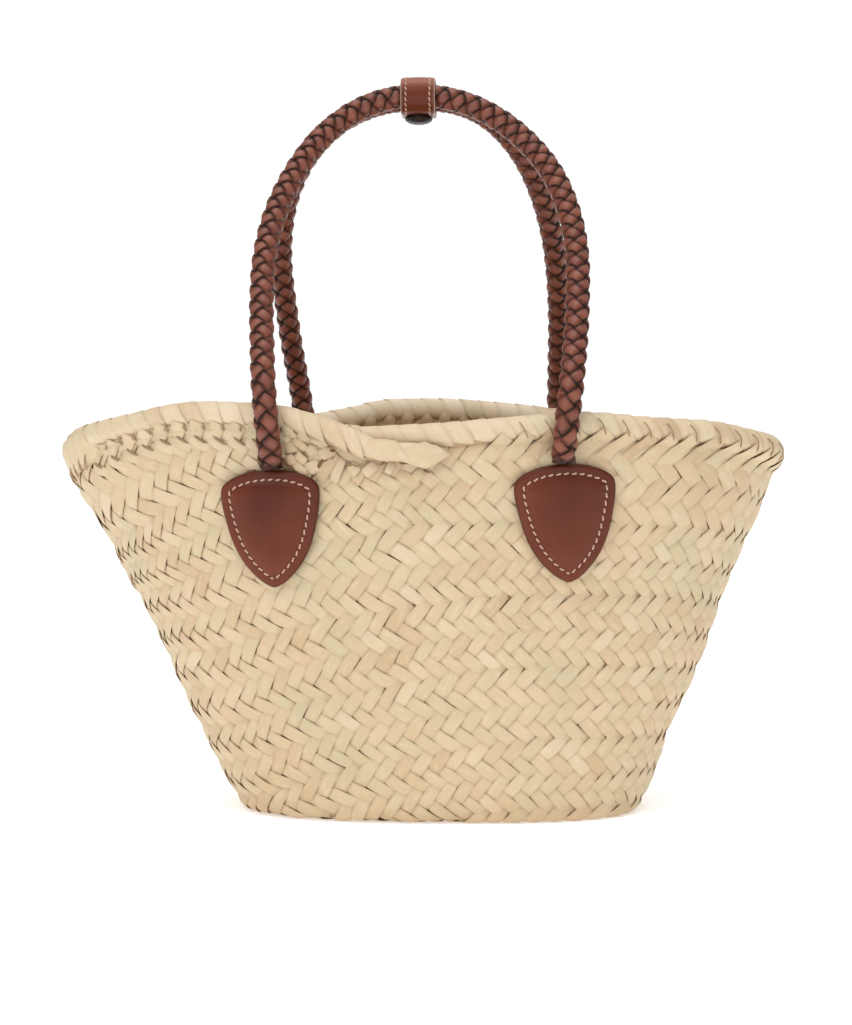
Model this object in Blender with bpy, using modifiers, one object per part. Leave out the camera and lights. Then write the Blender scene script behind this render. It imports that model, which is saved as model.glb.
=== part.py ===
"""A small basket tote of braided palm leaf with round braided leather handles.

Metres, +Z up. The front looks along -Y, and +X is to the right of someone who faces it.
The origin is the middle of the flat base.
"""

import math
from collections import namedtuple

import bmesh
import bpy
import numpy as np

# Basket: the base, and the mouth along the middle of its rolled rim
BASE_LENGTH = 0.209
BASE_DEPTH = 0.114
MOUTH_LENGTH = 0.3675
MOUTH_DEPTH = 0.170
MOUTH_SHIFT = -0.010
RIM_HEIGHT = 0.200
WALL = 0.003
BASE_EDGE_RADIUS = 0.005
BRAID_ROWS = 20
ROW_RELIEF = 0.0007
COLUMNS = 72
FLOOR_RING_INSET = 0.034

# Rolled rim
ROLL_HEIGHT = 0.0128
ROLL_DEPTH = 0.0112
ROLL_SIDES = 8
ROLL_END_SWELL = 0.3
ROLL_END_TURN = 20.0

# Handles, measured on their middle lines
HANDLE_DIAMETER = 0.0126
FRONT_HANDLE_SPAN = 0.1594
REAR_HANDLE_SPAN = 0.153
HANDLE_FOOT_SPAN = 0.145
HANDLE_SHIFT = 0.0014
CROWN_RISE = 0.1745
SHOULDER_RISE = 0.078
CROWN_SWAY = -0.0032
FRONT_HANDLE_ROUNDNESS = 2.05
REAR_HANDLE_ROUNDNESS = 2.25
LEG_SPREAD = 1.5
LEG_POINTS = 14
LEG_CROWDING = 1.6
ARCH_POINTS = 12

# Leather shields at the handles' ends
PATCH_WIDTH = 0.0498
PATCH_HEIGHT = 0.0595
PATCH_THICKNESS = 0.0036
PATCH_CROWN = 0.0022
PATCH_LEFT_DROP = 0.019
PATCH_RIGHT_DROP = 0.016
PATCH_LEFT_TILT = 2.0
PATCH_RIGHT_TILT = 3.0
SHIELD_MIDDLE = 0.42

# Band and snap that hold the handles together
KEEPER_WIDTH = 0.018
KEEPER_LEATHER = 0.0024
KEEPER_EASE = 0.0008
KEEPER_EDGE = 0.0006
KEEPER_ARC_POINTS = 8
KEEPER_STATIONS = 5
SNAP_DIAMETER = 0.0145
SNAP_HEIGHT = 0.0042
SNAP_BRIM = 0.0013
SNAP_CHAMFER = 0.0004
SNAP_SIDES = 20
SNAP_DOME_POINTS = 5

# Gap between pieces that touch
CLEARANCE = 0.0003

# Heights that follow from the sizes above
HANDLE_CROWN = RIM_HEIGHT + CROWN_RISE
HANDLE_SHOULDER = RIM_HEIGHT + SHOULDER_RISE
PATCH_LEFT_TOP = RIM_HEIGHT - PATCH_LEFT_DROP
PATCH_RIGHT_TOP = RIM_HEIGHT - PATCH_RIGHT_DROP

# Edges sharper than this, in degrees, stay sharp in shading, and a bevel rounds the keeper's
SHARP_ANGLE = 50
KEEPER_EDGE_ANGLE = 60

# Small steps round the mouth, in degrees, and up the wall that give its slope at a point
TURN_STEP = 0.5
UP_STEP = 0.005

# How far up the basket each section lies, and how far its left half, its right half and its
# depth have grown there from the base's size to the mouth's. Square 2 is an ellipse in plan.
Section = namedtuple("Section", "up left right depth square")
SECTIONS = (
    Section(up=0.00, left=0.00, right=0.00, depth=0.00, square=2.60),
    Section(up=0.12, left=0.14, right=0.13, depth=0.13, square=2.50),
    Section(up=0.25, left=0.28, right=0.25, depth=0.28, square=2.42),
    Section(up=0.39, left=0.41, right=0.42, depth=0.42, square=2.36),
    Section(up=0.52, left=0.53, right=0.54, depth=0.55, square=2.32),
    Section(up=0.66, left=0.69, right=0.67, depth=0.68, square=2.28),
    Section(up=0.79, left=0.83, right=0.82, depth=0.81, square=2.24),
    Section(up=0.91, left=0.98, right=0.94, depth=0.93, square=2.20),
    Section(up=1.00, left=1.00, right=1.00, depth=1.00, square=2.20),
)

# Height of the roll's middle line round the mouth, as a share of RIM_HEIGHT. Turn 0 is the
# right end, 90 the back, 180 the left end and 270 the front, in degrees.
Rim = namedtuple("Rim", "turn height")
RIM = (
    Rim(turn=0, height=0.932),
    Rim(turn=22, height=0.946),
    Rim(turn=48, height=0.992),
    Rim(turn=66, height=1.020),
    Rim(turn=76, height=1.039),
    Rim(turn=90, height=1.053),
    Rim(turn=97, height=1.050),
    Rim(turn=104, height=1.027),
    Rim(turn=113, height=1.003),
    Rim(turn=132, height=0.982),
    Rim(turn=158, height=0.946),
    Rim(turn=180, height=0.935),
    Rim(turn=203, height=0.974),
    Rim(turn=219, height=1.004),
    Rim(turn=236, height=1.038),
    Rim(turn=248, height=1.030),
    Rim(turn=255, height=1.004),
    Rim(turn=263, height=0.978),
    Rim(turn=270, height=0.981),
    Rim(turn=283, height=0.997),
    Rim(turn=296, height=1.011),
    Rim(turn=307, height=0.999),
    Rim(turn=320, height=0.989),
    Rim(turn=332, height=0.968),
    Rim(turn=344, height=0.950),
)

# The roll is the end of the spiral braid, so its two ends lie past each other on the front,
# its tail outside and below its head. Out and drop move its middle line off the wall's top,
# in roll depths and roll heights. Thick and tall taper its section.
Roll = namedtuple("Roll", "turn out drop thick tall")
ROLL = (
    Roll(turn=-105, out=-0.66, drop=0.10, thick=0.40, tall=0.50),
    Roll(turn=-100, out=-0.36, drop=0.00, thick=0.72, tall=0.86),
    Roll(turn=-95, out=-0.14, drop=0.00, thick=0.92, tall=0.96),
    Roll(turn=-90, out=-0.04, drop=0.00, thick=1.00, tall=1.00),
    Roll(turn=-85, out=0.00, drop=0.00, thick=1.00, tall=1.00),
    Roll(turn=245, out=0.00, drop=0.00, thick=1.00, tall=1.00),
    Roll(turn=250, out=0.04, drop=0.00, thick=1.00, tall=1.00),
    Roll(turn=255, out=0.30, drop=0.00, thick=0.97, tall=1.00),
    Roll(turn=260, out=0.62, drop=0.12, thick=0.84, tall=0.95),
    Roll(turn=265, out=0.74, drop=0.48, thick=0.62, tall=0.80),
    Roll(turn=270, out=0.64, drop=0.56, thick=0.42, tall=0.70),
    Roll(turn=275, out=0.42, drop=0.56, thick=0.20, tall=0.25),
)

# Places where the basket is pushed in: depth in walls, widths in degrees and in shares of height.
Dent = namedtuple("Dent", "turn up depth wide tall")
DENTS = (
    Dent(turn=255, up=0.96, depth=0.7, wide=4.5, tall=0.05),
    Dent(turn=100, up=0.55, depth=1.2, wide=26.0, tall=0.20),
    Dent(turn=225, up=0.35, depth=1.0, wide=16.0, tall=0.16),
    Dent(turn=318, up=0.62, depth=0.8, wide=14.0, tall=0.12),
)

# The handles' lean from the rim to the crown: rise as a share of that height, and the share of
# the way from outside the rim to side by side.
Lean = namedtuple("Lean", "rise share")
LEAN = (
    Lean(rise=0.00, share=0.000),
    Lean(rise=0.08, share=0.020),
    Lean(rise=0.26, share=0.218),
    Lean(rise=0.50, share=0.489),
    Lean(rise=0.75, share=0.769),
    Lean(rise=0.90, share=0.935),
    Lean(rise=1.00, share=1.000),
)

# The handles' lean to the left on their way up, in shares of CROWN_SWAY.
Sway = namedtuple("Sway", "rise front rear")
SWAY = (
    Sway(rise=0.00, front=0.00, rear=0.00),
    Sway(rise=0.12, front=0.05, rear=0.50),
    Sway(rise=0.25, front=0.12, rear=1.00),
    Sway(rise=0.38, front=0.20, rear=1.40),
    Sway(rise=0.55, front=0.15, rear=2.00),
    Sway(rise=0.72, front=0.10, rear=2.30),
    Sway(rise=0.88, front=0.55, rear=2.00),
    Sway(rise=1.00, front=1.00, rear=1.00),
)

# A shield's outline from its crown round the right side to its tip, as shares of its half
# width and of its height. The left side mirrors it.
Corner = namedtuple("Corner", "across down")
SHIELD = (
    Corner(across=0.00, down=0.000),
    Corner(across=0.36, down=0.012),
    Corner(across=0.64, down=0.042),
    Corner(across=0.83, down=0.078),
    Corner(across=0.95, down=0.125),
    Corner(across=1.00, down=0.185),
    Corner(across=1.00, down=0.260),
    Corner(across=0.96, down=0.370),
    Corner(across=0.88, down=0.520),
    Corner(across=0.77, down=0.665),
    Corner(across=0.64, down=0.780),
    Corner(across=0.45, down=0.885),
    Corner(across=0.24, down=0.965),
    Corner(across=0.00, down=1.000),
)

# A shield's layers from its back to the middle of its face: size as a share of the outline, and
# height as shares of its thickness and of its crown.
Layer = namedtuple("Layer", "size thick crown")
PATCH_LAYERS = (
    Layer(size=0.00, thick=0.00, crown=0.00),
    Layer(size=0.50, thick=0.00, crown=0.00),
    Layer(size=0.93, thick=0.00, crown=0.00),
    Layer(size=1.00, thick=0.45, crown=0.00),
    Layer(size=0.97, thick=0.85, crown=0.00),
    Layer(size=0.88, thick=1.00, crown=0.00),
    Layer(size=0.45, thick=1.00, crown=0.75),
    Layer(size=0.00, thick=1.00, crown=1.00),
)

STRAW = ("Palm leaf straw", (0.79, 0.66, 0.46), 0.62, 0.0)
LEATHER = ("Saddle brown leather", (0.22, 0.065, 0.035), 0.42, 0.0)
DARK_METAL = ("Burnished dark metal", (0.06, 0.045, 0.04), 0.35, 0.9)


def clear_scene():
    for old in list(bpy.data.objects):
        bpy.data.objects.remove(old, do_unlink=True)


def material(finish):
    name, colour, roughness, metallic = finish
    made = bpy.data.materials.new(name)
    made.use_nodes = True
    shader = made.node_tree.nodes["Principled BSDF"]
    shader.inputs["Base Color"].default_value = (*colour, 1.0)
    shader.inputs["Roughness"].default_value = roughness
    shader.inputs["Metallic"].default_value = metallic
    return made


def smooth_through(places, values, at):
    """A smooth curve through the rows of a table, read at the given places."""
    places = np.asarray(places, float)
    values = np.asarray(values, float)
    grades = np.diff(values) / np.diff(places)
    product = grades[:-1] * grades[1:]
    total = np.where(product > 0, grades[:-1] + grades[1:], 1.0)
    slopes = np.zeros(len(places))
    slopes[1:-1] = np.where(product > 0, 2 * product / total, 0.0)
    slopes[0] = grades[0]
    slopes[-1] = grades[-1]
    step = np.clip(np.searchsorted(places, at, side="right") - 1, 0, len(places) - 2)
    width = places[step + 1] - places[step]
    share = np.clip((at - places[step]) / width, 0.0, 1.0)
    start = (1 + 2 * share) * (1 - share) ** 2
    leave = share * (1 - share) ** 2
    arrive = share**2 * (share - 1)
    end = share**2 * (3 - 2 * share)
    return (
        start * values[step]
        + leave * width * slopes[step]
        + arrive * width * slopes[step + 1]
        + end * values[step + 1]
    )


def column(rows, name):
    return [getattr(row, name) for row in rows]


def rim_height(turn):
    """Height of the roll's middle line at a turn round the mouth."""
    turns = np.array(column(RIM, "turn"), float)
    heights = np.array(column(RIM, "height"), float)
    turns = np.concatenate([turns - 360, turns, turns + 360])
    return RIM_HEIGHT * smooth_through(turns, np.tile(heights, 3), np.mod(turn, 360.0))


def half_sizes(up):
    """Left and right half length, half depth and squareness of the outer face."""
    ups = column(SECTIONS, "up")
    base = BASE_LENGTH / 2
    grown = (MOUTH_LENGTH + WALL) / 2 - base
    left = base + grown * smooth_through(ups, column(SECTIONS, "left"), up)
    right = base + grown * smooth_through(ups, column(SECTIONS, "right"), up)
    depth_grown = (MOUTH_DEPTH + WALL - BASE_DEPTH) / 2
    depth = BASE_DEPTH / 2 + depth_grown * smooth_through(ups, column(SECTIONS, "depth"), up)
    return left, right, depth, smooth_through(ups, column(SECTIONS, "square"), up)


def dent(turn, up):
    """How far the wall is pushed in at a point."""
    total = np.zeros(np.broadcast(turn, up).shape)
    for row in DENTS:
        away = (np.mod(turn - row.turn + 180.0, 360.0) - 180.0) / row.wide
        total = total + row.depth * WALL * np.exp(-(away**2) - ((up - row.up) / row.tall) ** 2)
    return total


def wall_point(turn, up, out=0.0):
    """A point `out` metres off the wall's outer face, level with it, as x, y, z in rows."""
    turn = np.asarray(turn, float)
    up = np.asarray(up, float)
    left, right, depth, square = half_sizes(up)
    cos = np.cos(np.radians(turn))
    sin = np.sin(np.radians(turn))
    length = np.where(cos < 0, left, right)
    reach = (np.abs(cos) ** square + np.abs(sin) ** square) ** (-1 / square)
    nx = np.sign(cos) * np.abs(cos) ** (square - 1) / length
    ny = np.sign(sin) * np.abs(sin) ** (square - 1) / depth
    size = np.hypot(nx, ny)
    out = out - dent(turn, up)
    x = MOUTH_SHIFT * up + length * cos * reach + out * nx / size
    y = depth * sin * reach + out * ny / size
    z = up * rim_height(turn)
    return np.stack(np.broadcast_arrays(x, y, z), axis=-1)


def face_turn(x, up, facing):
    """Turn of the point of the front (-1) or rear (1) wall at a given x."""
    left, right, _, square = half_sizes(up)
    across = x - MOUTH_SHIFT * up
    share = min(abs(across) / (left if across < 0 else right), 1.0)
    turn = math.atan2((1 - share**square) ** (1 / square), math.copysign(share, across))
    return facing * math.degrees(turn)


def face_place(x, z, facing):
    """Turn and share of height of the point of a face at x and z, found in a few passes."""
    up = z / RIM_HEIGHT
    for _ in range(4):
        turn = face_turn(x, up, facing)
        up = z / rim_height(turn)
    return turn, up


def face_point(x, z, facing, out=0.0):
    """The point of the front or rear wall at x and z, moved `out` metres off it."""
    turn, up = face_place(x, z, facing)
    here = wall_point(turn, up)
    along = wall_point(turn + TURN_STEP, up) - here
    rising = wall_point(turn, up + UP_STEP) - here
    normal = np.cross(along, rising)
    return here + out * normal / np.linalg.norm(normal)


def new_object(name, mesh, finish, collection):
    made = bpy.data.objects.new(name, mesh)
    mesh.materials.append(material(finish))
    collection.objects.link(made)
    if made.type == "MESH":
        mesh.shade_smooth()
        mesh.set_sharp_from_angle(angle=math.radians(SHARP_ANGLE))
    return made


def join_rings(bm, rings, closed_path=False):
    """Faces between each ring of vertices and the next."""
    pairs = list(zip(rings, rings[1:]))
    if closed_path:
        pairs.append((rings[-1], rings[0]))
    for lower, upper in pairs:
        for i, vertex in enumerate(lower):
            j = (i + 1) % len(lower)
            bm.faces.new((vertex, lower[j], upper[j], upper[i]))


def finished_mesh(bm, name):
    bmesh.ops.recalc_face_normals(bm, faces=bm.faces)
    mesh = bpy.data.meshes.new(name)
    bm.to_mesh(mesh)
    bm.free()
    return mesh


def relief(row):
    """The braid stands out along the middle of a pair of rows and dips where pairs meet."""
    return ROW_RELIEF if row % 2 else -ROW_RELIEF


def roll_swell(turn):
    """The roll stands taller round the bag's two narrow ends."""
    from_end = np.mod(turn + 90.0, 180.0) - 90.0
    return 1 + ROLL_END_SWELL * np.exp(-((from_end / ROLL_END_TURN) ** 2))


def wall_top(turn):
    """Height of the wall's edge, just under the roll."""
    return rim_height(turn) - roll_swell(turn) * ROLL_HEIGHT / 2 - CLEARANCE


def basket_body(collection):
    """The open shell: rings across the base, round its edge and up the wall, made solid."""
    turns = np.arange(COLUMNS) * 360.0 / COLUMNS
    bm = bmesh.new()
    rings = []
    for inset in (FLOOR_RING_INSET, BASE_EDGE_RADIUS):
        points = wall_point(turns, np.zeros(COLUMNS), -inset)
        points[:, 2] = 0.0
        rings.append([bm.verts.new(point) for point in points])
    corner = (1 - math.sqrt(0.5)) * BASE_EDGE_RADIUS
    points = wall_point(turns, corner / rim_height(turns), -corner)
    rings.append([bm.verts.new(point) for point in points])
    for row in range(1, BRAID_ROWS + 1):
        share = row / BRAID_ROWS
        ups = share * wall_top(turns) / rim_height(turns)
        out = relief(row) if row < BRAID_ROWS else 0.0
        points = wall_point(turns, ups, out)
        rings.append([bm.verts.new(point) for point in points])
    bm.faces.new(rings[0])
    join_rings(bm, rings)
    mesh = finished_mesh(bm, "basket_body")
    body = new_object("basket_body", mesh, STRAW, collection)
    shell = body.modifiers.new("Wall", "SOLIDIFY")
    shell.thickness = WALL
    shell.offset = -1.0
    shell.use_even_offset = True
    shell.use_quality_normals = True
    return body


def roll_sections():
    """Turns of the roll's sections from its head round to its tail, centres and tapers."""
    places = column(ROLL, "turn")
    count = round((places[-1] - places[0]) * COLUMNS / 360)
    turns = np.linspace(places[0], places[-1], count + 1)
    out, drop, thick, tall = (
        smooth_through(places, column(ROLL, name), turns) for name in Roll._fields[1:]
    )
    centres = wall_point(turns, np.ones(len(turns)), out * ROLL_DEPTH - WALL / 2)
    centres[:, 2] -= drop * ROLL_HEIGHT
    return centres, thick * ROLL_DEPTH / 2, tall * roll_swell(turns) * ROLL_HEIGHT / 2


def rim_roll(collection):
    """A thick roll lofted round the mouth, flattened and drawn in at both ends."""
    centres, half_depths, half_heights = roll_sections()
    paths = np.gradient(centres, axis=0)
    paths /= np.linalg.norm(paths, axis=1)[:, None]
    outward = np.cross(paths, np.array([0.0, 0.0, 1.0]))
    outward /= np.linalg.norm(outward, axis=1)[:, None]
    upward = np.cross(outward, paths)
    bm = bmesh.new()
    rings = []
    for i, centre in enumerate(centres):
        ring = []
        for side in range(ROLL_SIDES):
            angle = math.tau * (side + 0.5) / ROLL_SIDES
            across = math.cos(angle) * half_depths[i]
            rise = math.sin(angle) * half_heights[i]
            ring.append(bm.verts.new(centre + across * outward[i] + rise * upward[i]))
        rings.append(ring)
    join_rings(bm, rings)
    bm.faces.new(rings[0])
    bm.faces.new(rings[-1])
    return new_object("rim_roll", finished_mesh(bm, "rim_roll"), STRAW, collection)


def roll_height(x, facing):
    """Height of the roll's middle line where a face's rim has a given x."""
    return rim_height(face_turn(x, 1.0, facing))


def handle_depth(x, z, foot_top, facing):
    """Distance of a handle's middle line from the bag's middle plane."""
    radius = HANDLE_DIAMETER / 2
    rim_z = roll_height(x, facing)
    wall_depth = abs(face_point(x, rim_z, facing)[1])
    rim_depth = wall_depth - WALL / 2 + ROLL_DEPTH / 2 + radius + 2 * CLEARANCE
    if z > rim_z:
        rise = (z - rim_z) / (HANDLE_CROWN - rim_z)
        share = smooth_through(column(LEAN, "rise"), column(LEAN, "share"), rise)
        return rim_depth + (radius + CLEARANCE - rim_depth) * share
    foot_depth = abs(face_point(x, foot_top, facing)[1]) + radius + ROW_RELIEF + 2 * CLEARANCE
    climb = (z - foot_top) / (rim_z - foot_top)
    return foot_depth + (rim_depth - foot_depth) * climb**2 * (3 - 2 * climb)


def leg_span(z, span):
    """Half the distance between the legs' middle lines below the handle's shoulder."""
    foot = min(PATCH_LEFT_TOP, PATCH_RIGHT_TOP)
    below = (HANDLE_SHOULDER - z) / (HANDLE_SHOULDER - foot)
    return (span - (span - HANDLE_FOOT_SPAN) * below**LEG_SPREAD) / 2


def arch_height(across, span, roundness):
    """Height of a handle's middle line a distance across from its crown. Roundness 2 is an ellipse."""
    share = 1 - abs(2 * across / span) ** roundness
    return HANDLE_SHOULDER + (HANDLE_CROWN - HANDLE_SHOULDER) * share ** (1 / roundness)


def crown_place():
    """Where the handles lie side by side at their crown, as x."""
    return MOUTH_SHIFT + HANDLE_SHIFT + CROWN_SWAY


def keeper_height(across):
    """Height of the handles' middle lines inside the keeper."""
    front = arch_height(across, FRONT_HANDLE_SPAN, FRONT_HANDLE_ROUNDNESS)
    rear = arch_height(across, REAR_HANDLE_SPAN, REAR_HANDLE_ROUNDNESS)
    return (front + rear) / 2


def half_handle(side, facing):
    """Points of one half of a handle's middle line, from its foot to the crown."""
    foot_top = PATCH_LEFT_TOP if side < 0 else PATCH_RIGHT_TOP
    span = FRONT_HANDLE_SPAN if facing < 0 else REAR_HANDLE_SPAN
    roundness = FRONT_HANDLE_ROUNDNESS if facing < 0 else REAR_HANDLE_ROUNDNESS
    sways = column(SWAY, "front" if facing < 0 else "rear")
    climbs = np.linspace(0, 1, LEG_POINTS, endpoint=False) ** LEG_CROWDING
    heights = foot_top + (HANDLE_SHOULDER - foot_top) * climbs
    flat = [(leg_span(z, span), z) for z in heights]
    for angle in np.linspace(0, math.pi / 2, ARCH_POINTS):
        across = math.cos(angle) ** (2 / roundness) * span / 2
        flat.append((across, arch_height(across, span, roundness)))
    points = []
    for across, z in flat:
        rise = max(0.0, (z - RIM_HEIGHT) / (HANDLE_CROWN - RIM_HEIGHT))
        sway = CROWN_SWAY * smooth_through(column(SWAY, "rise"), sways, rise)
        x = MOUTH_SHIFT + HANDLE_SHIFT + side * across + sway
        points.append((x, facing * handle_depth(x, z, foot_top, facing), z))
    return points


def braided_handle(name, facing, collection):
    """A round handle swept along its middle line, which leans from the rim to the crown."""
    path = half_handle(-1, facing) + half_handle(1, facing)[-2::-1]
    curve = bpy.data.curves.new(name, "CURVE")
    curve.dimensions = "3D"
    curve.bevel_depth = HANDLE_DIAMETER / 2
    curve.bevel_resolution = 2
    curve.use_fill_caps = True
    spline = curve.splines.new("POLY")
    spline.points.add(len(path) - 1)
    for point, place in zip(spline.points, path):
        point.co = (*place, 1.0)
    return new_object(name, curve, LEATHER, collection)


def shield_outline():
    """The shield's whole outline from its crown, as across and down."""
    right = [(row.across, row.down) for row in SHIELD]
    left = [(-across, down) for across, down in right[-2:0:-1]]
    return right + left


def leather_patch(name, side, facing, collection):
    """A padded shield laid on the wall: its back, rounded edge and domed face in rings."""
    top = PATCH_LEFT_TOP if side < 0 else PATCH_RIGHT_TOP
    tilt = math.radians(PATCH_LEFT_TILT if side < 0 else PATCH_RIGHT_TILT)
    centre_x = MOUTH_SHIFT + HANDLE_SHIFT + side * HANDLE_FOOT_SPAN / 2
    back = ROW_RELIEF + CLEARANCE
    bm = bmesh.new()
    rings = []
    for layer in PATCH_LAYERS:
        out = back + layer.thick * PATCH_THICKNESS + layer.crown * PATCH_CROWN
        outline = shield_outline() if layer.size else [(0.0, 0.0)]
        ring = []
        for across, down in outline:
            across = layer.size * across * PATCH_WIDTH / 2
            down = layer.size * (down - SHIELD_MIDDLE) * PATCH_HEIGHT
            x = centre_x + across * math.cos(tilt) + down * math.sin(tilt)
            z = top - SHIELD_MIDDLE * PATCH_HEIGHT - down * math.cos(tilt)
            z += across * math.sin(tilt)
            ring.append(bm.verts.new(face_point(x, z, facing, out)))
        rings.append(ring)
    join_rings(bm, rings[1:-1])
    for pole, ring in ((rings[0][0], rings[1]), (rings[-1][0], rings[-2])):
        for i, vertex in enumerate(ring):
            bm.faces.new((pole, vertex, ring[(i + 1) % len(ring)]))
    return new_object(name, finished_mesh(bm, name), LEATHER, collection)


def keeper_section(height):
    """Points round the inner face of the keeper: two half circles about the handles."""
    radius = HANDLE_DIAMETER / 2 + KEEPER_EASE
    apart = HANDLE_DIAMETER / 2 + CLEARANCE
    points = []
    for side in (1, -1):
        for angle in np.linspace(-math.pi / 2, math.pi / 2, KEEPER_ARC_POINTS):
            y = side * (apart + radius * math.cos(angle))
            points.append((y, height + side * radius * math.sin(angle)))
    return points


def keeper_band(collection):
    """A leather band bent with the handles' crown, open at both sides."""
    bm = bmesh.new()
    rings = []
    for across in np.linspace(-KEEPER_WIDTH / 2, KEEPER_WIDTH / 2, KEEPER_STATIONS):
        points = keeper_section(keeper_height(across))
        rings.append([bm.verts.new((crown_place() + across, y, z)) for y, z in points])
    join_rings(bm, rings)
    mesh = finished_mesh(bm, "keeper_band")
    band = new_object("keeper_band", mesh, LEATHER, collection)
    leather = band.modifiers.new("Leather", "SOLIDIFY")
    leather.thickness = KEEPER_LEATHER
    leather.offset = 1.0
    leather.use_even_offset = True
    edge = band.modifiers.new("Rounded edges", "BEVEL")
    edge.width = KEEPER_EDGE
    edge.segments = 1
    edge.limit_method = "ANGLE"
    edge.angle_limit = math.radians(KEEPER_EDGE_ANGLE)
    return band


def snap_cap(collection):
    """The snap's domed cap, a profile turned about its own axis under the keeper."""
    radius = SNAP_DIAMETER / 2
    profile = [(0.0, 0.0), (radius - SNAP_CHAMFER, 0.0), (radius, -SNAP_CHAMFER)]
    for angle in np.linspace(0, math.pi / 2, SNAP_DOME_POINTS):
        across = radius * math.cos(angle)
        profile.append((across, -SNAP_BRIM - (SNAP_HEIGHT - SNAP_BRIM) * math.sin(angle)))
    bm = bmesh.new()
    points = [bm.verts.new((across, 0.0, z)) for across, z in profile]
    for start, end in zip(points, points[1:]):
        bm.edges.new((start, end))
    mesh = bpy.data.meshes.new("snap_cap")
    bm.to_mesh(mesh)
    bm.free()
    cap = new_object("snap_cap", mesh, DARK_METAL, collection)
    under = HANDLE_DIAMETER / 2 + KEEPER_EASE + KEEPER_LEATHER + CLEARANCE
    cap.location = (crown_place(), 0.0, keeper_height(radius) - under)
    turned = cap.modifiers.new("Turned", "SCREW")
    turned.axis = "Z"
    turned.angle = math.tau
    turned.steps = SNAP_SIDES
    turned.render_steps = SNAP_SIDES
    turned.use_merge_vertices = True
    turned.merge_threshold = 0.00001
    return cap


def main():
    clear_scene()
    tote = bpy.data.collections.new("Straw tote")
    bpy.context.scene.collection.children.link(tote)
    basket_body(tote)
    rim_roll(tote)
    for facing, where in ((-1, "front"), (1, "rear")):
        braided_handle(f"handle_{where}", facing, tote)
        for side, which in ((-1, "left"), (1, "right")):
            leather_patch(f"patch_{where}_{which}", side, facing, tote)
    keeper_band(tote)
    snap_cap(tote)


main()
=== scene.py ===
import math
from collections import namedtuple

import bpy
import numpy as np
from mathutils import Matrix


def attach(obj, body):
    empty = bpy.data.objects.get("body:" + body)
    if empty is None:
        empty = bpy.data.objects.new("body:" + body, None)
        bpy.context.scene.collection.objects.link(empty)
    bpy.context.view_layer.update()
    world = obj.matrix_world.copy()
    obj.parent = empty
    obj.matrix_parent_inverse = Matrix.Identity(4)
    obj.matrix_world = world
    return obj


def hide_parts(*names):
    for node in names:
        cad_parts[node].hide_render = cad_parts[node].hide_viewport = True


# Looks of a small basket tote of braided palm leaf with braided leather handles. Metres, +Z up.
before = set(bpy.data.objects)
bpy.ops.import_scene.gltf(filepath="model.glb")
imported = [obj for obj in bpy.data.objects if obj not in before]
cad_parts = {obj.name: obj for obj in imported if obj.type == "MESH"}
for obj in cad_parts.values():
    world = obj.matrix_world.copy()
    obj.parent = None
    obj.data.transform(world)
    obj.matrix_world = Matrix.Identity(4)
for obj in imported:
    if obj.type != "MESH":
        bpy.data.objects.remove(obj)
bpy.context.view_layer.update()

# Sizes of the part that its looks follow
BASE_LENGTH = 0.209
BASE_DEPTH = 0.114
MOUTH_LENGTH = 0.3675
MOUTH_DEPTH = 0.170
MOUTH_SHIFT = -0.010
RIM_HEIGHT = 0.200
WALL = 0.003
EDGE_RADIUS = 0.005
ROLL_HEIGHT = 0.0128
ROLL_DEPTH = 0.0112
ROLL_END_SWELL = 0.3
ROLL_END_TURN = 20.0
HANDLE_DIAMETER = 0.0126
FRONT_HANDLE_SPAN = 0.1594
REAR_HANDLE_SPAN = 0.153
HANDLE_FOOT_SPAN = 0.145
HANDLE_SHIFT = 0.0014
HANDLE_CROWN = 0.3745
HANDLE_SHOULDER = 0.278
CROWN_SWAY = -0.0032
FRONT_HANDLE_ROUNDNESS = 2.05
REAR_HANDLE_ROUNDNESS = 2.25
LEG_SPREAD = 1.5
PATCH_WIDTH = 0.0498
PATCH_HEIGHT = 0.0595
PATCH_LEFT_TOP = 0.181
PATCH_RIGHT_TOP = 0.184
PATCH_LEFT_TILT = 2.0
PATCH_RIGHT_TILT = 3.0
SHIELD_MIDDLE = 0.42
KEEPER_WIDTH = 0.018
KEEPER_LEATHER = 0.0024
KEEPER_EASE = 0.0008
ROW_RELIEF = 0.0007
CLEARANCE = 0.0003
# Width of a leaf strip, and of one wrap of the roll
LEAF = 0.0093
WRAP = 0.0104
WHITE = (1.0, 1.0, 1.0, 1.0)

# How far up the basket each section lies, how far its left, right and depth have grown there
# towards the mouth, and its squareness
SECTIONS = np.array([
    (0.00, 0.00, 0.00, 0.00, 2.60),
    (0.12, 0.14, 0.13, 0.13, 2.50),
    (0.25, 0.28, 0.25, 0.28, 2.42),
    (0.39, 0.41, 0.42, 0.42, 2.36),
    (0.52, 0.53, 0.54, 0.55, 2.32),
    (0.66, 0.69, 0.67, 0.68, 2.28),
    (0.79, 0.83, 0.82, 0.81, 2.24),
    (0.91, 0.98, 0.94, 0.93, 2.20),
    (1.00, 1.00, 1.00, 1.00, 2.20),
])

# Turn round the mouth, and height of the roll's middle line there as a share of RIM_HEIGHT
RIM = np.array([
    (0, 0.932), (22, 0.946), (48, 0.992), (66, 1.020), (76, 1.039), (90, 1.053), (97, 1.050),
    (104, 1.027), (113, 1.003), (132, 0.982), (158, 0.946), (180, 0.935), (203, 0.974),
    (219, 1.004), (236, 1.038), (248, 1.030), (255, 1.004), (263, 0.978), (270, 0.981),
    (283, 0.997), (296, 1.011), (307, 0.999), (320, 0.989), (332, 0.968), (344, 0.950),
])

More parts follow.
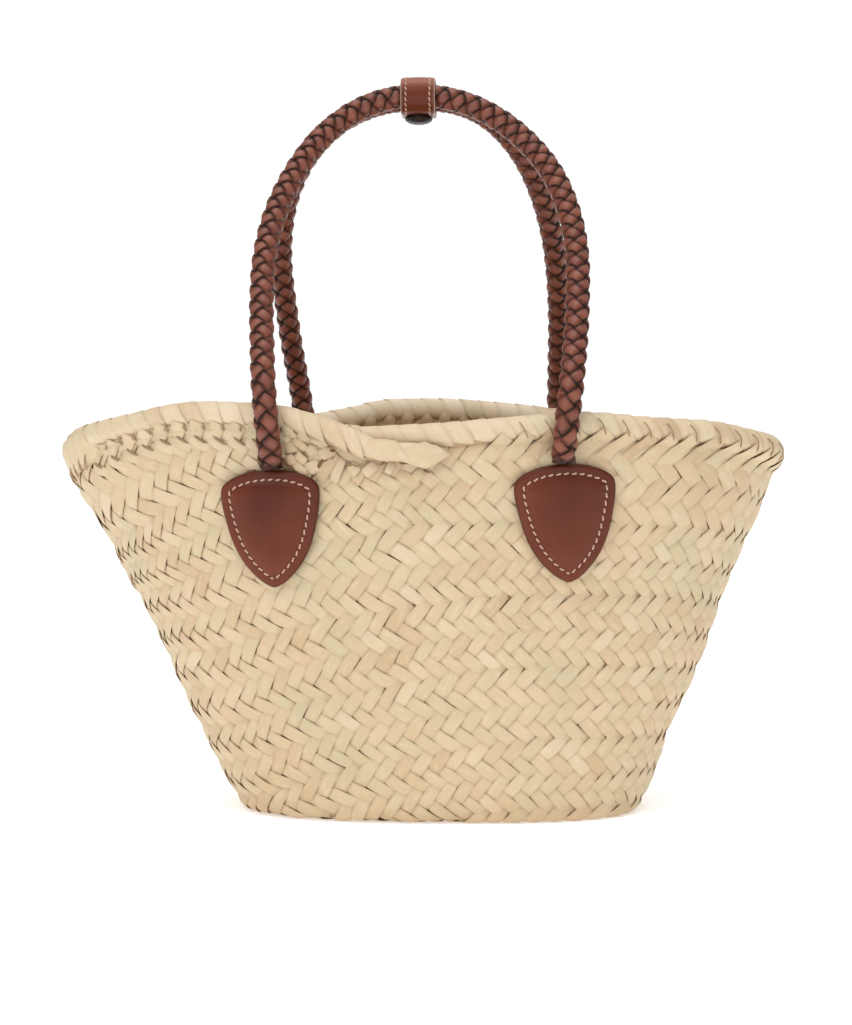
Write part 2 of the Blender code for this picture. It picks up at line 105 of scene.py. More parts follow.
# The roll's middle line: turn, out and drop in roll sizes, and its section's taper
ROLL = np.array([
    (-105, -0.66, 0.10, 0.40, 0.50),
    (-100, -0.36, 0.00, 0.72, 0.86),
    (-95, -0.14, 0.00, 0.92, 0.96),
    (-90, -0.04, 0.00, 1.00, 1.00),
    (-85, 0.00, 0.00, 1.00, 1.00),
    (245, 0.00, 0.00, 1.00, 1.00),
    (250, 0.04, 0.00, 1.00, 1.00),
    (255, 0.30, 0.00, 0.97, 1.00),
    (260, 0.62, 0.12, 0.84, 0.95),
    (265, 0.74, 0.48, 0.62, 0.80),
    (270, 0.64, 0.56, 0.42, 0.70),
    (275, 0.42, 0.56, 0.20, 0.25),
])

# Pushed-in places: turn, up, depth in walls, width in degrees and in shares of height
DENTS = ((255, 0.96, 0.7, 4.5, 0.05), (100, 0.55, 1.2, 26.0, 0.20), (225, 0.35, 1.0, 16.0, 0.16),
         (318, 0.62, 0.8, 14.0, 0.12))

# The handles' lean inwards, and their sway to the left at the front and the rear
LEAN = np.array([(0.00, 0.000), (0.08, 0.020), (0.26, 0.218), (0.50, 0.489), (0.75, 0.769),
                 (0.90, 0.935), (1.00, 1.000)])
SWAY = np.array([(0.00, 0.00, 0.00), (0.12, 0.05, 0.50), (0.25, 0.12, 1.00), (0.38, 0.20, 1.40),
                 (0.55, 0.15, 2.00), (0.72, 0.10, 2.30), (0.88, 0.55, 2.00), (1.00, 1.00, 1.00)])

# How far the left and right legs have sagged to the side at each height
NUDGE = np.array([(0.180, 0.0004, -0.0016), (0.200, 0.0012, -0.0018), (0.225, 0.0014, -0.0010),
                  (0.260, 0.0010, 0.0000), (0.300, 0.0010, 0.0000), (0.340, 0.0010, 0.0000),
                  (0.375, 0.0000, 0.0000)])

# Half of a shield's outline from its crown to its tip, as shares of half its width and its height
SHIELD = np.array([(0.00, 0.000), (0.34, 0.012), (0.62, 0.042), (0.82, 0.080), (0.94, 0.118),
                   (0.99, 0.158), (1.00, 0.210), (0.980, 0.300), (0.925, 0.420), (0.84, 0.560),
                   (0.72, 0.690), (0.58, 0.792), (0.395, 0.885), (0.19, 0.960), (0.00, 1.000)])

# Where the braid's rows lie, as shares of the wall's height, at turns round the front. Four rows
# are one band, and the front's left half runs down by one band to meet itself.
ROW_TURNS = np.array([180, 210, 225, 240, 255, 270, 285, 300, 450, 540])
ROW_PLACES = np.array([
    (-4, -0.33, -0.32, -0.29, -0.25, -0.21, -0.172, -0.150, -0.147, -0.147, -0.147),
    (0, -0.15, -0.14, -0.11, -0.07, -0.027, 0.010, 0.030, 0.036, 0.036, 0.038),
    (4, 0.038, 0.045, 0.066, 0.112, 0.160, 0.189, 0.212, 0.219, 0.219, 0.230),
    (8, 0.230, 0.235, 0.248, 0.294, 0.341, 0.388, 0.403, 0.403, 0.403, 0.425),
    (12, 0.425, 0.430, 0.437, 0.475, 0.535, 0.578, 0.589, 0.585, 0.585, 0.595),
    (16, 0.595, 0.600, 0.620, 0.665, 0.726, 0.783, 0.775, 0.764, 0.764, 0.735),
    (20, 0.735, 0.750, 0.792, 0.845, 0.905, 0.965, 0.985, 0.985, 0.985, 0.955),
    (24, 0.955, 0.970, 0.987, 1.020, 1.075, 1.130, 1.170, 1.180, 1.180, 1.180),
])
FIRST_ROW = -4
LAST_ROW = 24
ROW_STEP = 0.25
# The braid runs from one turn to the other, and its rows are known a little past both
START = 180.0
END = 540.0
FIRST_TURN = 170.0
LAST_TURN = 550.0

random = np.random.default_rng(23)


def smooth_through(places, values, at):
    """A smooth curve through the rows of a table, read at the given places."""
    places = np.asarray(places, float)
    values = np.asarray(values, float)
    grades = np.diff(values) / np.diff(places)
    product = grades[:-1] * grades[1:]
    total = np.where(product > 0, grades[:-1] + grades[1:], 1.0)
    slopes = np.zeros(len(places))
    slopes[1:-1] = np.where(product > 0, 2 * product / total, 0.0)
    slopes[0] = grades[0]
    slopes[-1] = grades[-1]
    step = np.clip(np.searchsorted(places, at, side="right") - 1, 0, len(places) - 2)
    width = places[step + 1] - places[step]
    share = np.clip((at - places[step]) / width, 0.0, 1.0)
    return (
        (1 + 2 * share) * (1 - share) ** 2 * values[step]
        + share * (1 - share) ** 2 * width * slopes[step]
        + share**2 * (share - 1) * width * slopes[step + 1]
        + share**2 * (3 - 2 * share) * values[step + 1]
    )


def smooth_step(low, high, at):
    """0 up to one value, 1 from the other on, and a smooth rise between them."""
    share = np.clip((at - low) / (high - low), 0.0, 1.0)
    return share * share * (3 - 2 * share)


def unit(vectors):
    """Vectors brought to length 1."""
    return vectors / np.linalg.norm(vectors, axis=-1, keepdims=True)


def join(x, y, z):
    """Three numbers or arrays of numbers as one array of vectors."""
    return np.stack(np.broadcast_arrays(x, y, z), axis=-1)


def path_lengths(points):
    """How far along a path each of its points lies."""
    steps = np.linalg.norm(np.diff(points, axis=0), axis=1)
    return np.concatenate([[0.0], np.cumsum(steps)])


def read_at(place, lengths, values):
    """Rows of a table of vectors or numbers read at lengths along a path."""
    if values.ndim == 1:
        return np.interp(place, lengths, values)
    return np.stack([np.interp(place, lengths, column) for column in values.T], axis=-1)


def tube(place, angle, deep, tall, lengths, centres, outward, upward):
    """Points round a path, at lengths along it and angles round it, by half sizes out and up."""
    return (read_at(place, lengths, centres)
            + (deep * np.cos(angle))[..., None] * read_at(place, lengths, outward)
            + (tall * np.sin(angle))[..., None] * read_at(place, lengths, upward))


def rim_height(turn):
    """Height of the roll's middle line at a turn round the mouth."""
    turns = np.concatenate([RIM[:, 0] - 360, RIM[:, 0], RIM[:, 0] + 360])
    return RIM_HEIGHT * smooth_through(turns, np.tile(RIM[:, 1], 3), np.mod(turn, 360.0))


def half_sizes(up):
    """Left and right half length, half depth and squareness of the outer face."""
    base = BASE_LENGTH / 2
    grown = (MOUTH_LENGTH + WALL) / 2 - base
    left = base + grown * smooth_through(SECTIONS[:, 0], SECTIONS[:, 1], up)
    right = base + grown * smooth_through(SECTIONS[:, 0], SECTIONS[:, 2], up)
    deeper = (MOUTH_DEPTH + WALL - BASE_DEPTH) / 2
    depth = BASE_DEPTH / 2 + deeper * smooth_through(SECTIONS[:, 0], SECTIONS[:, 3], up)
    return left, right, depth, smooth_through(SECTIONS[:, 0], SECTIONS[:, 4], up)


def dent(turn, up):
    """How far the wall is pushed in at a point."""
    total = np.zeros(np.broadcast(turn, up).shape)
    for place, height, depth, wide, tall in DENTS:
        away = (np.mod(turn - place + 180.0, 360.0) - 180.0) / wide
        total = total + depth * WALL * np.exp(-(away**2) - ((up - height) / tall) ** 2)
    return total


def ring_point(turn, up, inset, out, z):
    """A point of a level section drawn in by `inset` and then moved `out` metres off, at height z."""
    left, right, depth, square = half_sizes(up)
    cos = np.cos(np.radians(turn))
    sin = np.sin(np.radians(turn))
    length = np.where(cos < 0, left, right) - inset
    depth = np.maximum(depth - inset, 0.0006)
    reach = (np.abs(cos) ** square + np.abs(sin) ** square) ** (-1 / square)
    nx = np.sign(cos) * np.abs(cos) ** (square - 1) / length
    ny = np.sign(sin) * np.abs(sin) ** (square - 1) / depth
    size = np.hypot(nx, ny)
    out = out - dent(turn, up)
    x = MOUTH_SHIFT * up + length * cos * reach + out * nx / size
    y = depth * sin * reach + out * ny / size
    return join(x, y, z)


def wall_point(turn, up, out=0.0):
    """A point `out` metres off the wall's outer face, level with it."""
    return ring_point(turn, up, 0.0, out, up * rim_height(turn))


def skin(turn, up, out=0.0):
    """The wall's outer face, which goes on round the base's edge and across the underside."""
    tall = rim_height(turn)
    below = np.maximum(EDGE_RADIUS - up * tall, 0.0)
    angle = np.minimum(below / EDGE_RADIUS, math.pi / 2)
    inset = EDGE_RADIUS * (1 - np.cos(angle))
    inset = inset + np.maximum(below - EDGE_RADIUS * math.pi / 2, 0.0)
    z = np.where(below > 0, EDGE_RADIUS * (1 - np.sin(angle)), up * tall)
    return ring_point(turn, z / tall, inset, out, z)


def row_heights():
    """Heights of closely spaced rows at each degree from the first to the last turn."""
    turns = np.clip(np.arange(FIRST_TURN, LAST_TURN + 1.0), START, END)
    rows = np.arange(FIRST_ROW, LAST_ROW + 0.01, ROW_STEP)
    coarse = [smooth_through(ROW_TURNS, line[1:], turns) for line in ROW_PLACES]
    heights = np.transpose(coarse)
    return np.array([smooth_through(ROW_PLACES[:, 0], line, rows) for line in heights])


ROW_HEIGHTS = row_heights()


def row_up(row, turn):
    """Share of the wall's height at a row number, between the first and the last turn."""
    down = np.clip((row - FIRST_ROW) / ROW_STEP, 0.0, ROW_HEIGHTS.shape[1] - 1.001)
    along = np.clip(turn - FIRST_TURN, 0.0, ROW_HEIGHTS.shape[0] - 1.001)
    down, along = np.broadcast_arrays(down, along)
    i = along.astype(int)
    j = down.astype(int)
    s = along - i
    t = down - j
    low = ROW_HEIGHTS[i, j] * (1 - t) + ROW_HEIGHTS[i, j + 1] * t
    high = ROW_HEIGHTS[i + 1, j] * (1 - t) + ROW_HEIGHTS[i + 1, j + 1] * t
    return low * (1 - s) + high * s


def base_up(row, turn):
    """The same for the rings of rows under the base, which are numbered down from -1."""
    return (row + 1) * 0.045 + 0.0 * turn


Band = namedtuple("Band", "first rows count turns columns heights")


def make_band(first, rows, heights=row_up):
    """A band of rows: how many columns it has, and the column number at each turn."""
    turns = np.arange(FIRST_TURN, LAST_TURN + 0.1, 0.5)
    middle = first + rows / 2
    path = skin(turns, heights(middle, turns))
    steps = np.diff(path_lengths(path))
    rise = skin(turns, heights(middle + 0.5, turns)) - skin(turns, heights(middle - 0.5, turns))
    pitch = np.linalg.norm(rise, axis=1)
    columns = np.concatenate([[0.0], np.cumsum(steps / (pitch[1:] + pitch[:-1]) * 2)])
    start, end = np.interp((START, END), turns, columns)
    count = max(round(end - start), 8)
    return Band(first, rows, count, turns, (columns - start) * count / (end - start), heights)


def lattice_place(band, column, row):
    """Turn and share of height of a lattice point: rows run along, columns stand square to them."""
    turn = np.interp(column, band.columns, band.turns)
    middle = band.first + band.rows / 2
    up = band.heights(middle, turn)
    here = skin(turn, up)
    step = 0.5
    along = skin(turn + step, band.heights(middle, turn + step)) - here
    rise = skin(turn, up + 0.01) - here
    away = (band.heights(row, turn) - up) / 0.01
    back = np.sum(rise * along, axis=-1) / np.sum(along * along, axis=-1)
    turn = turn - np.clip(away * back * step, -6.0, 6.0)
    return turn, band.heights(row, turn)


def normals_at(turn, up, surface=skin):
    """A surface's points at turns and shares of height, and the way out at each."""
    here = surface(turn, up)
    along = surface(turn + 0.4, up) - here
    rising = surface(turn, up + 0.004) - here
    return here, unit(np.cross(along, rising))


def under_roll(turn, up):
    """How far up behind the roll's lower half a point lies: 0 at its lower edge, 1 at its middle."""
    return 1 - (1 - up) * rim_height(turn) / (ROLL_HEIGHT / 2 * roll_swell(turn))


def roll_swell(turn):
    """How much taller the roll is near the bag's two ends."""
    from_end = np.mod(turn + 90.0, 180.0) - 90.0
    return 1 + ROLL_END_SWELL * np.exp(-((from_end / ROLL_END_TURN) ** 2))


class Strips:
    """Closed ribbons gathered into one mesh, with what their material reads at each point."""

    def __init__(self):
        self.points = []
        self.grain = []
        self.leaf = []
        self.sizes = []
        self.loops = []
        self.total = 0

    def add(self, points, grain, leaf, loop=False):
        """Points by ribbon, station and place round the section, turned so faces look outward."""
        count, stations, ring = points.shape[:3]
        grain, leaf = (np.array(np.broadcast_to(v, points.shape)) for v in (grain, leaf))
        points = np.array(points)
        middle = points.mean(axis=2)
        spokes = points - middle[:, :, None]
        area = np.cross(spokes, np.roll(spokes, -1, axis=2)).sum(axis=2)
        if loop:
            ahead = np.roll(middle, -1, axis=1) - middle
        else:
            ahead = np.diff(middle, axis=1, append=middle[:, -1:])
        flip = (area * ahead).sum(axis=(1, 2)) < 0
        for values in (points, grain, leaf):
            values[flip] = values[flip][:, :, ::-1]
        number = self.total + np.arange(count * stations * ring).reshape(count, stations, ring)
        after = np.roll(number, -1, axis=2)
        corners = [number, after, np.roll(after, -1, axis=1), np.roll(number, -1, axis=1)]
        if not loop:
            caps = np.concatenate([number[:, 0, ::-1], number[:, -1]])
            corners = [corner[:, :-1] for corner in corners]
        quads = np.stack(corners, axis=-1).reshape(-1, 4)
        for faces in (quads,) if loop else (quads, caps):
            self.loops.append(faces.ravel())
            self.sizes.append(np.full(len(faces), faces.shape[1]))
        for values, kept in ((points, self.points), (grain, self.grain), (leaf, self.leaf)):
            kept.append(values.reshape(-1, 3))
        self.total += count * stations * ring

    def piece(self, name, material, slot=None, nodes=(), sharp=50.0):
        """One piece of the scene made of all the ribbons, shaded smooth up to a sharp angle."""
        points = np.concatenate(self.points)
        loops = np.concatenate(self.loops)
        sizes = np.concatenate(self.sizes)
        mesh = bpy.data.meshes.new(name)
        mesh.vertices.add(len(points))
        mesh.vertices.foreach_set("co", points.astype(np.float32).ravel())
        mesh.loops.add(len(loops))
        mesh.loops.foreach_set("vertex_index", loops.astype(np.int32))
        mesh.polygons.add(len(sizes))
        starts = np.concatenate([[0], np.cumsum(sizes)[:-1]])
        mesh.polygons.foreach_set("loop_start", starts.astype(np.int32))
        mesh.update(calc_edges=True)
        mesh.validate()
        for label, values in (("grain", self.grain), ("leaf", self.leaf)):
            made = mesh.attributes.new(label, "FLOAT_VECTOR", "POINT")
            made.data.foreach_set("vector", np.concatenate(values).astype(np.float32).ravel())
        mesh.materials.append(material)
        mesh.shade_smooth()
        mesh.set_sharp_from_angle(angle=math.radians(sharp))
        made = bpy.data.objects.new(name, mesh)
        bpy.context.scene.collection.objects.link(made)
        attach(made, "root")
        if nodes:
            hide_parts(*nodes)
        return made


class Nodes:
    """A material's or world's node tree in short form."""

    def __init__(self, owner):
        owner.use_nodes = True
        self.owner = owner
        self.nodes = owner.node_tree.nodes
        self.links = owner.node_tree.links

    def put(self, socket, value):
        if isinstance(value, bpy.types.NodeSocket):
            self.links.new(value, socket)
        else:
            socket.default_value = value

    def node(self, kind, output=0, inputs=(), **settings):
        made = self.nodes.new("ShaderNode" + kind)
        for key, value in settings.items():
            setattr(made, key, value)
        for key, value in dict(inputs).items():
            self.put(made.inputs[key], value)
        return made.outputs[output]

    def math(self, operation, *values):
        return self.node("Math", 0, enumerate(values), operation=operation)

    def mix(self, share, first, second, blend="MIX"):
        """Two colours mixed, the second given as red, green and blue."""
        share_at, first_at, second_at, mixed_at = 0, 6, 7, 2
        inputs = {share_at: share, first_at: first, second_at: (*second, 1.0)}
        return self.node("Mix", mixed_at, inputs, data_type="RGBA", blend_type=blend)

    def attribute(self, name):
        return self.node("Attribute", "Vector", attribute_name=name)

    def split(self, vector):
        made = self.nodes.new("ShaderNodeSeparateXYZ")
        self.put(made.inputs[0], vector)
        return made.outputs

    def scaled(self, vector, sizes):
        return self.node("VectorMath", 0, {0: vector, 1: sizes}, operation="MULTIPLY")

    def noise(self, vector, scale, detail=2.0, roughness=0.5):
        return self.node("TexNoise", 0, {
            "Vector": vector, "Scale": scale, "Detail": detail, "Roughness": roughness})

    def ramp(self, share, stops):
        made = self.nodes.new("ShaderNodeValToRGB")
        self.put(made.inputs[0], share)
        points = made.color_ramp.elements
        while len(points) < len(stops):
            points.new(0.5)
        for point, (place, colour) in zip(points, stops):
            point.position = place
            point.color = (*colour, 1.0)
        return made.outputs[0]

    def span(self, value, low, high, new_low, new_high):
        return self.node("MapRange", 0, {
            "Value": value, "From Min": low, "From Max": high, "To Min": new_low,
            "To Max": new_high})

    def bump(self, height, distance, strength):
        return self.node("Bump", 0, {"Height": height, "Distance": distance, "Strength": strength})


class Shader(Nodes):
    """A new material with one main shader."""

    def __init__(self, name):
        super().__init__(bpy.data.materials.new(name))

    def finish(self, **values):
        for key, value in values.items():
            self.put(self.nodes["Principled BSDF"].inputs[key.replace("_", " ")], value)
        return self.owner


def straw_material(name, tint=(1.0, 1.0, 1.0), gloss=0.30):
    """Split palm leaf: each strip has its own tone, long fibres and darker cut edges, with painted
    shade where strips tuck under others and on dark leaves laid into gaps.
    """
    shader = Shader(name)
    grain = shader.attribute("grain")
    tone, edge, dark = shader.split(shader.attribute("leaf"))
    place = shader.node("TexCoord", "Object")
    broad = shader.noise(place, 14.0)
    spread = shader.math("MULTIPLY_ADD", broad, 0.55, shader.math("MULTIPLY_ADD", tone, 0.75, -0.15))
    streaks = shader.noise(shader.scaled(grain, (5200.0, 130.0, 37.0)), 1.0, 3.0, 0.6)
    blotch = shader.noise(shader.scaled(grain, (420.0, 160.0, 91.0)), 1.0)
    colour = shader.ramp(spread, [
        (0.00, (0.50, 0.355, 0.205)), (0.22, (0.58, 0.430, 0.262)), (0.42, (0.625, 0.480, 0.302)),
        (0.56, (0.595, 0.492, 0.310)), (0.72, (0.650, 0.510, 0.332)), (1.00, (0.71, 0.590, 0.410))])
    # dark fibres, pale blotches, green and pink patches, and painted shade that darkens the foot of
    # the basket
    for value, low, high, first, last, over in (
            (streaks, 0.35, 0.70, 0.0, 0.30, (0.50, 0.365, 0.215)),
            (blotch, 0.50, 0.75, 0.0, 0.35, (0.74, 0.62, 0.43)),
            (shader.noise(place, 27.0), 0.52, 0.72, 0.0, 0.45, (0.50, 0.445, 0.275)),
            (shader.noise(place, 41.0), 0.52, 0.74, 0.0, 0.38, (0.66, 0.465, 0.315)),
            (shader.split(place)[2], 0.0, 0.012, 0.34, 0.0, (0.42, 0.25, 0.12))):
        colour = shader.mix(shader.span(value, low, high, first, last), colour, over)
    # darker cut edges, and painted shade at the ends where strips tuck under their neighbours
    colour = shader.mix(shader.math("MULTIPLY", edge, 0.42), colour, (0.38, 0.25, 0.125))
    # painted shade: the dark colour of leaves, seams and cores that stand in for gaps and creases
    colour = shader.mix(dark, colour, (0.17, 0.085, 0.035))
    colour = shader.mix(1.0, colour, tint, "MULTIPLY")
    height = shader.math("MULTIPLY_ADD", blotch, 0.6, streaks)
    return shader.finish(
        Base_Color=colour, Roughness=shader.span(streaks, 0.3, 0.7, 0.46, 0.64),
        Specular_IOR_Level=gloss, Normal=shader.bump(height, 0.00018, 0.55))


def core_material():
    """The shaded inner layers of the braid, seen only between strips."""
    shader = Shader("leaf_shadow")
    place = shader.node("TexCoord", "Object")
    grit = shader.noise(place, 260.0, 3.0)
    colour = shader.ramp(grit, [(0.3, (0.17, 0.095, 0.045)), (0.7, (0.32, 0.200, 0.100))])
    return shader.finish(Base_Color=colour, Roughness=0.85, Specular_IOR_Level=0.15,
                         Normal=shader.bump(grit, 0.0004, 0.6))


def leather_colours(shader, tone):
    """Saddle brown with cloudy depth, the clouds themselves, and fine pores to bump."""
    place = shader.node("TexCoord", "Object")
    cloud = shader.noise(place, 38.0, 3.0)
    pores = shader.noise(place, 1500.0, 2.0, 0.6)
    mixed = shader.math("MULTIPLY_ADD", cloud, 0.6, shader.math("MULTIPLY_ADD", tone, 0.5, -0.05))
    colour = shader.ramp(mixed, [
        (0.10, (0.078, 0.014, 0.005)), (0.50, (0.122, 0.026, 0.010)),
        (0.90, (0.200, 0.052, 0.024)), (1.00, (0.270, 0.090, 0.055))])
    return colour, cloud, pores


def braid_material():
    """Flat leather strands with dyed, nearly black edges, painted highlights on their crowns and
    painted shade where they pass under others.
    """
    shader = Shader("braided_saddle_leather")
    tone, edge, dark = shader.split(shader.attribute("leaf"))
    colour, cloud, pores = leather_colours(shader, tone)
    painted_light = shader.split(shader.attribute("grain"))[2]
    painted = shader.span(edge, 0.25, 0.75, 0.0, 1.0)
    # painted highlight, partly wear: paler pink on the crowns of the lobes
    colour = shader.mix(shader.math("MULTIPLY", painted_light, 0.50), colour, (0.320, 0.125, 0.092))
    colour = shader.mix(painted, colour, (0.024, 0.007, 0.003))
    # painted shade where strands pass under others, near the feet and on the core
    colour = shader.mix(dark, colour, (0.018, 0.005, 0.002))
    clean = shader.span(cloud, 0.3, 0.7, 0.30, 0.38)
    return shader.finish(
        Base_Color=colour, Roughness=shader.math("MULTIPLY_ADD", painted, 0.45, clean),
        Specular_IOR_Level=0.30, Normal=shader.bump(pores, 0.00010, 0.30))


def leather_material():
    """Smooth leather of the shields and the band, darker or paler towards its cut edge, with painted
    light in its tone and painted shade in the shields' sewn channels.
    """
    shader = Shader("smooth_saddle_leather")
    tone, edge, pale = shader.split(shader.attribute("leaf"))
    colour, cloud, pores = leather_colours(shader, tone)
    colour = shader.mix(edge, colour, (0.070, 0.013, 0.006))
    colour = shader.mix(pale, colour, (0.56, 0.42, 0.34))
    return shader.finish(
        Base_Color=colour, Roughness=shader.span(cloud, 0.3, 0.7, 0.28, 0.36),
        Specular_IOR_Level=0.20, Normal=shader.bump(pores, 0.00008, 0.25))


def thread_material():
    """Waxed cream thread with its twist."""
    shader = Shader("cream_thread")
    across, along, _ = shader.split(shader.attribute("grain"))
    twist = shader.math("ADD", shader.math("MULTIPLY", along, 5200.0),
                        shader.math("MULTIPLY", across, 2600.0))
    wave = shader.math("SINE", twist)
    colour = shader.ramp(shader.math("MULTIPLY_ADD", wave, 0.5, 0.5), [
        (0.0, (0.38, 0.22, 0.15)), (1.0, (0.64, 0.42, 0.32))])
    return shader.finish(Base_Color=colour, Roughness=0.6, Specular_IOR_Level=0.3,
                         Normal=shader.bump(wave, 0.00010, 0.6))


def metal_material():
    """Burnished dark metal with faint turning marks."""
    shader = Shader("burnished_metal")
    place = shader.node("TexCoord", "Object")
    marks = shader.noise(place, 900.0, 2.0)
    colour = shader.ramp(marks, [(0.3, (0.012, 0.008, 0.007)), (0.7, (0.032, 0.022, 0.018))])
    return shader.finish(Base_Color=colour, Metallic=0.60, Roughness=0.36, Specular_IOR_Level=0.25,
                         Normal=shader.bump(marks, 0.00004, 0.4))


def floor_material():
    """A pale matt floor that glows a little, so that it stays near white."""
    shader = Shader("studio_floor")
    place = shader.node("TexCoord", "Object")
    grain = shader.noise(place, 900.0, 2.0)
    colour = shader.ramp(grain, [(0.0, (0.93, 0.93, 0.93)), (1.0, (0.96, 0.96, 0.96))])
    return shader.finish(Base_Color=colour, Roughness=0.9, Specular_IOR_Level=0.1,
                         Emission_Color=WHITE, Emission_Strength=0.40)


# A strip's section: share across, and height in millimetres, over the top and back underneath
WIDE_SECTION = np.array([(-0.50, 0.00), (-0.30, 0.16), (0.00, 0.24), (0.30, 0.16), (0.50, 0.00),
                         (0.46, -0.34), (-0.46, -0.34)])
THIN_SECTION = np.array([(-0.50, 0.00), (0.00, 0.20), (0.50, 0.00), (0.44, -0.34),
                         (-0.44, -0.34)])
ROW_SWELL = 0.24
BAND_SWELL = 0.52
TOP_LIFT = 0.12
DIVE = 1.00


def float_shape(count, section, stations, joint):
    """Lattice offsets and heights in millimetres of `count` strips where they pass over others.
    `joint` is 1 where a strip ends at the joint of two bands, and 0 elsewhere."""
    reach = 1.55
    t = np.linspace(-reach, reach, stations)[:, None]
    v = section[:, 0]
    shape = (count, 1, 1)
    width = random.uniform(0.98, 1.07, shape)
    cut = random.uniform(0.0, 0.06, shape) + joint * random.uniform(0.02, 0.14, shape)
    cut = cut + (random.random(shape) < 0.05 + 0.12 * joint) * 0.17
    narrow = 1 - cut * smooth_step(-0.6, 0.9, t)
    v = v * width * np.where(v < 0, narrow, 1.0) * (1 - 0.05 * np.minimum(t**2, 1.0))
    turn = np.radians(random.normal(0.0, 1.6, shape))
    roll = random.normal(0.25, 0.30, shape)
    lift = random.normal(0.0, 0.08, shape)
    slide = random.normal(0.0, 0.020, shape)
    side = t * np.cos(turn) - v * np.sin(turn)
    over = t * np.sin(turn) + v * np.cos(turn) + slide
    height = TOP_LIFT - DIVE * smooth_step(0.25, 1.35, np.abs(t)) + lift + roll * v * 0.8
    height = height + section[:, 1]
    return side / 2, over / 2, height, t, v


def weave(strips, band, rows, inside, section, stations):
    """The strips of the given rows. Even rows lean one way and odd rows the other."""
    on_wall = band.heights is row_up
    columns = np.arange(band.count)
    tones = random.uniform(0.0, 1.0, (2, band.count))
    parts = []
    for row in rows:
        rising = row % 2 == 1
        strip = np.mod(columns - row if rising else columns + row, band.count)
        tone = 0.62 * tones[int(rising)][strip] + 0.38 * random.uniform(0.0, 1.0, band.count)
        parts.append(np.stack([columns + (0.75 if rising else 0.25), np.full(band.count, row + 0.5),
                               np.full(band.count, 1.0 if rising else -1.0), tone]))
    column, row, lean, tone = np.concatenate(parts, axis=1)
    if on_wall:
        turn = np.interp(column, band.columns, band.turns)
        up = row_up(row, turn)
        lowest, highest = (0.03, 0.2) if inside else (0.004, 0.8)
        keep = (up > lowest) & (under_roll(turn, up) < highest)
        column, row, lean, tone = (values[keep] for values in (column, row, lean, tone))
    count = len(column)
    if not count:
        return
    column, row, lean, tone = (values[:, None, None] for values in (column, row, lean, tone))
    joint = np.where(np.isin(np.mod(row, 4), (0.5, 3.5)), 1.0, 0.0)
    side, over, height, t, v = float_shape(count, section, stations, joint)
    if inside:
        lean = -lean
    spot = column + side + over
    line = row + lean * (side - over)
    turn, up = lattice_place(band, spot, line)
    at, normal = normals_at(turn, up)
    if inside:
        off = -WALL * 1000 - height
    elif on_wall:
        swell = BAND_SWELL * (np.abs(np.sin(math.pi * line / 4)) ** 0.7 - 0.6)
        swell = (swell - ROW_SWELL * np.cos(math.pi * line)) * smooth_step(0.0, 0.05, up)
        tuck = 1.3 * smooth_step(-0.1, 0.8, under_roll(turn, up))
        off = height + swell - tuck - 0.5 * smooth_step(0.02, -0.02, up)
    else:
        off = height - 0.8
    # Past the base's rounded edge, strips face straight down, and none reaches the floor
    flat = (up < -0.0143)[..., None]
    normal = np.where(flat, np.array([0.0, 0.0, -1.0]), normal)
    points = at + normal * off[..., None] / 1000
    points[..., 2] = np.maximum(points[..., 2], 0.0001)
    seed = random.random((count, 1, 1))
    grain = join(v * LEAF * 0.7, t * LEAF * 0.7, seed)
    # darker cut edges along the sides, and painted shade at the ends where each strip dives under
    # others
    edge = smooth_step(0.36, 0.52, np.abs(v)) * 0.45 + smooth_step(0.85, 1.35, np.abs(t)) * 0.8
    strips.add(points, grain, join(tone, np.minimum(edge, 1.0), 0.0))


def core_shell(strips):
    """The dark layer in the middle of the wall and of the base."""
    turns = np.arange(START, END, 2.5)[None, :]
    base = base_up(np.linspace(-6.8, -1.0, 13), 0.0)
    levels = np.concatenate([base, np.linspace(0.01, 0.965, 44)])[:, None]
    layers = []
    for depth in (-1.75, -2.05):
        turn, up = np.broadcast_arrays(turns, levels)
        at, normal = normals_at(turn, up)
        layers.append(at + normal * depth / 1000)
    closed = np.swapaxes(np.concatenate([layers[0], layers[1][::-1]])[None], 1, 2)
    closed[..., 2] = np.maximum(closed[..., 2], 0.0012)
    strips.add(closed, 0.0, 0.0, loop=True)


def seams(strips):
    """The leaf that sews each band to the next, in the gaps between their strips."""
    turns = np.arange(START, END + 0.1, 1.5)[None, :, None]
    section = np.array([(-0.60, -1.45), (-0.30, -1.22), (0.30, -1.22), (0.60, -1.45),
                        (0.45, -1.68), (-0.45, -1.68)])
    for row in range(0, 24, 4):
        wave = 0.10 * np.sin(np.radians(turns * 41.0 + row * 50.0))
        line = row + section[:, 0] + wave
        up = row_up(line, turns)
        at, normal = normals_at(turns + 0.0 * up, np.maximum(up, 0.004))
        points = at + normal * (section[:, 1] + 0.6 * wave)[..., None] / 1000
        # painted shade: the seam darkens in places along it, as the shaded gaps at the band joints
        dark = np.clip(0.5 + 0.5 * np.sin(np.radians(turns * 23.0 + row * 31.0)), 0.25, 0.80)
        strips.add(points, join(section[:, 0] * 0.005, turns * 0.003, 0.2), join(0.3, 0.4, dark))


def base_joint(strips):
    """The leaf that closes the middle of the base, seen inside and underneath."""
    x = np.linspace(-0.056, 0.056, 12)[:, None]
    for low, high in ((0.0004, 0.0014), (0.0013, 0.0030), (0.0029, 0.0037)):
        half = 0.0035 * np.sqrt(np.maximum(1 - (x / 0.058) ** 4, 0.05))
        y = np.array([-1.0, 0.0, 1.0, 1.0, 0.0, -1.0]) * half
        z = np.array([high - 0.0003, high, high - 0.0003, low + 0.0002, low, low + 0.0002])
        points = join(x, y, z)[None]
        strips.add(points, points[..., [1, 0, 2]], np.array([0.4, 0.2, 0.0]))


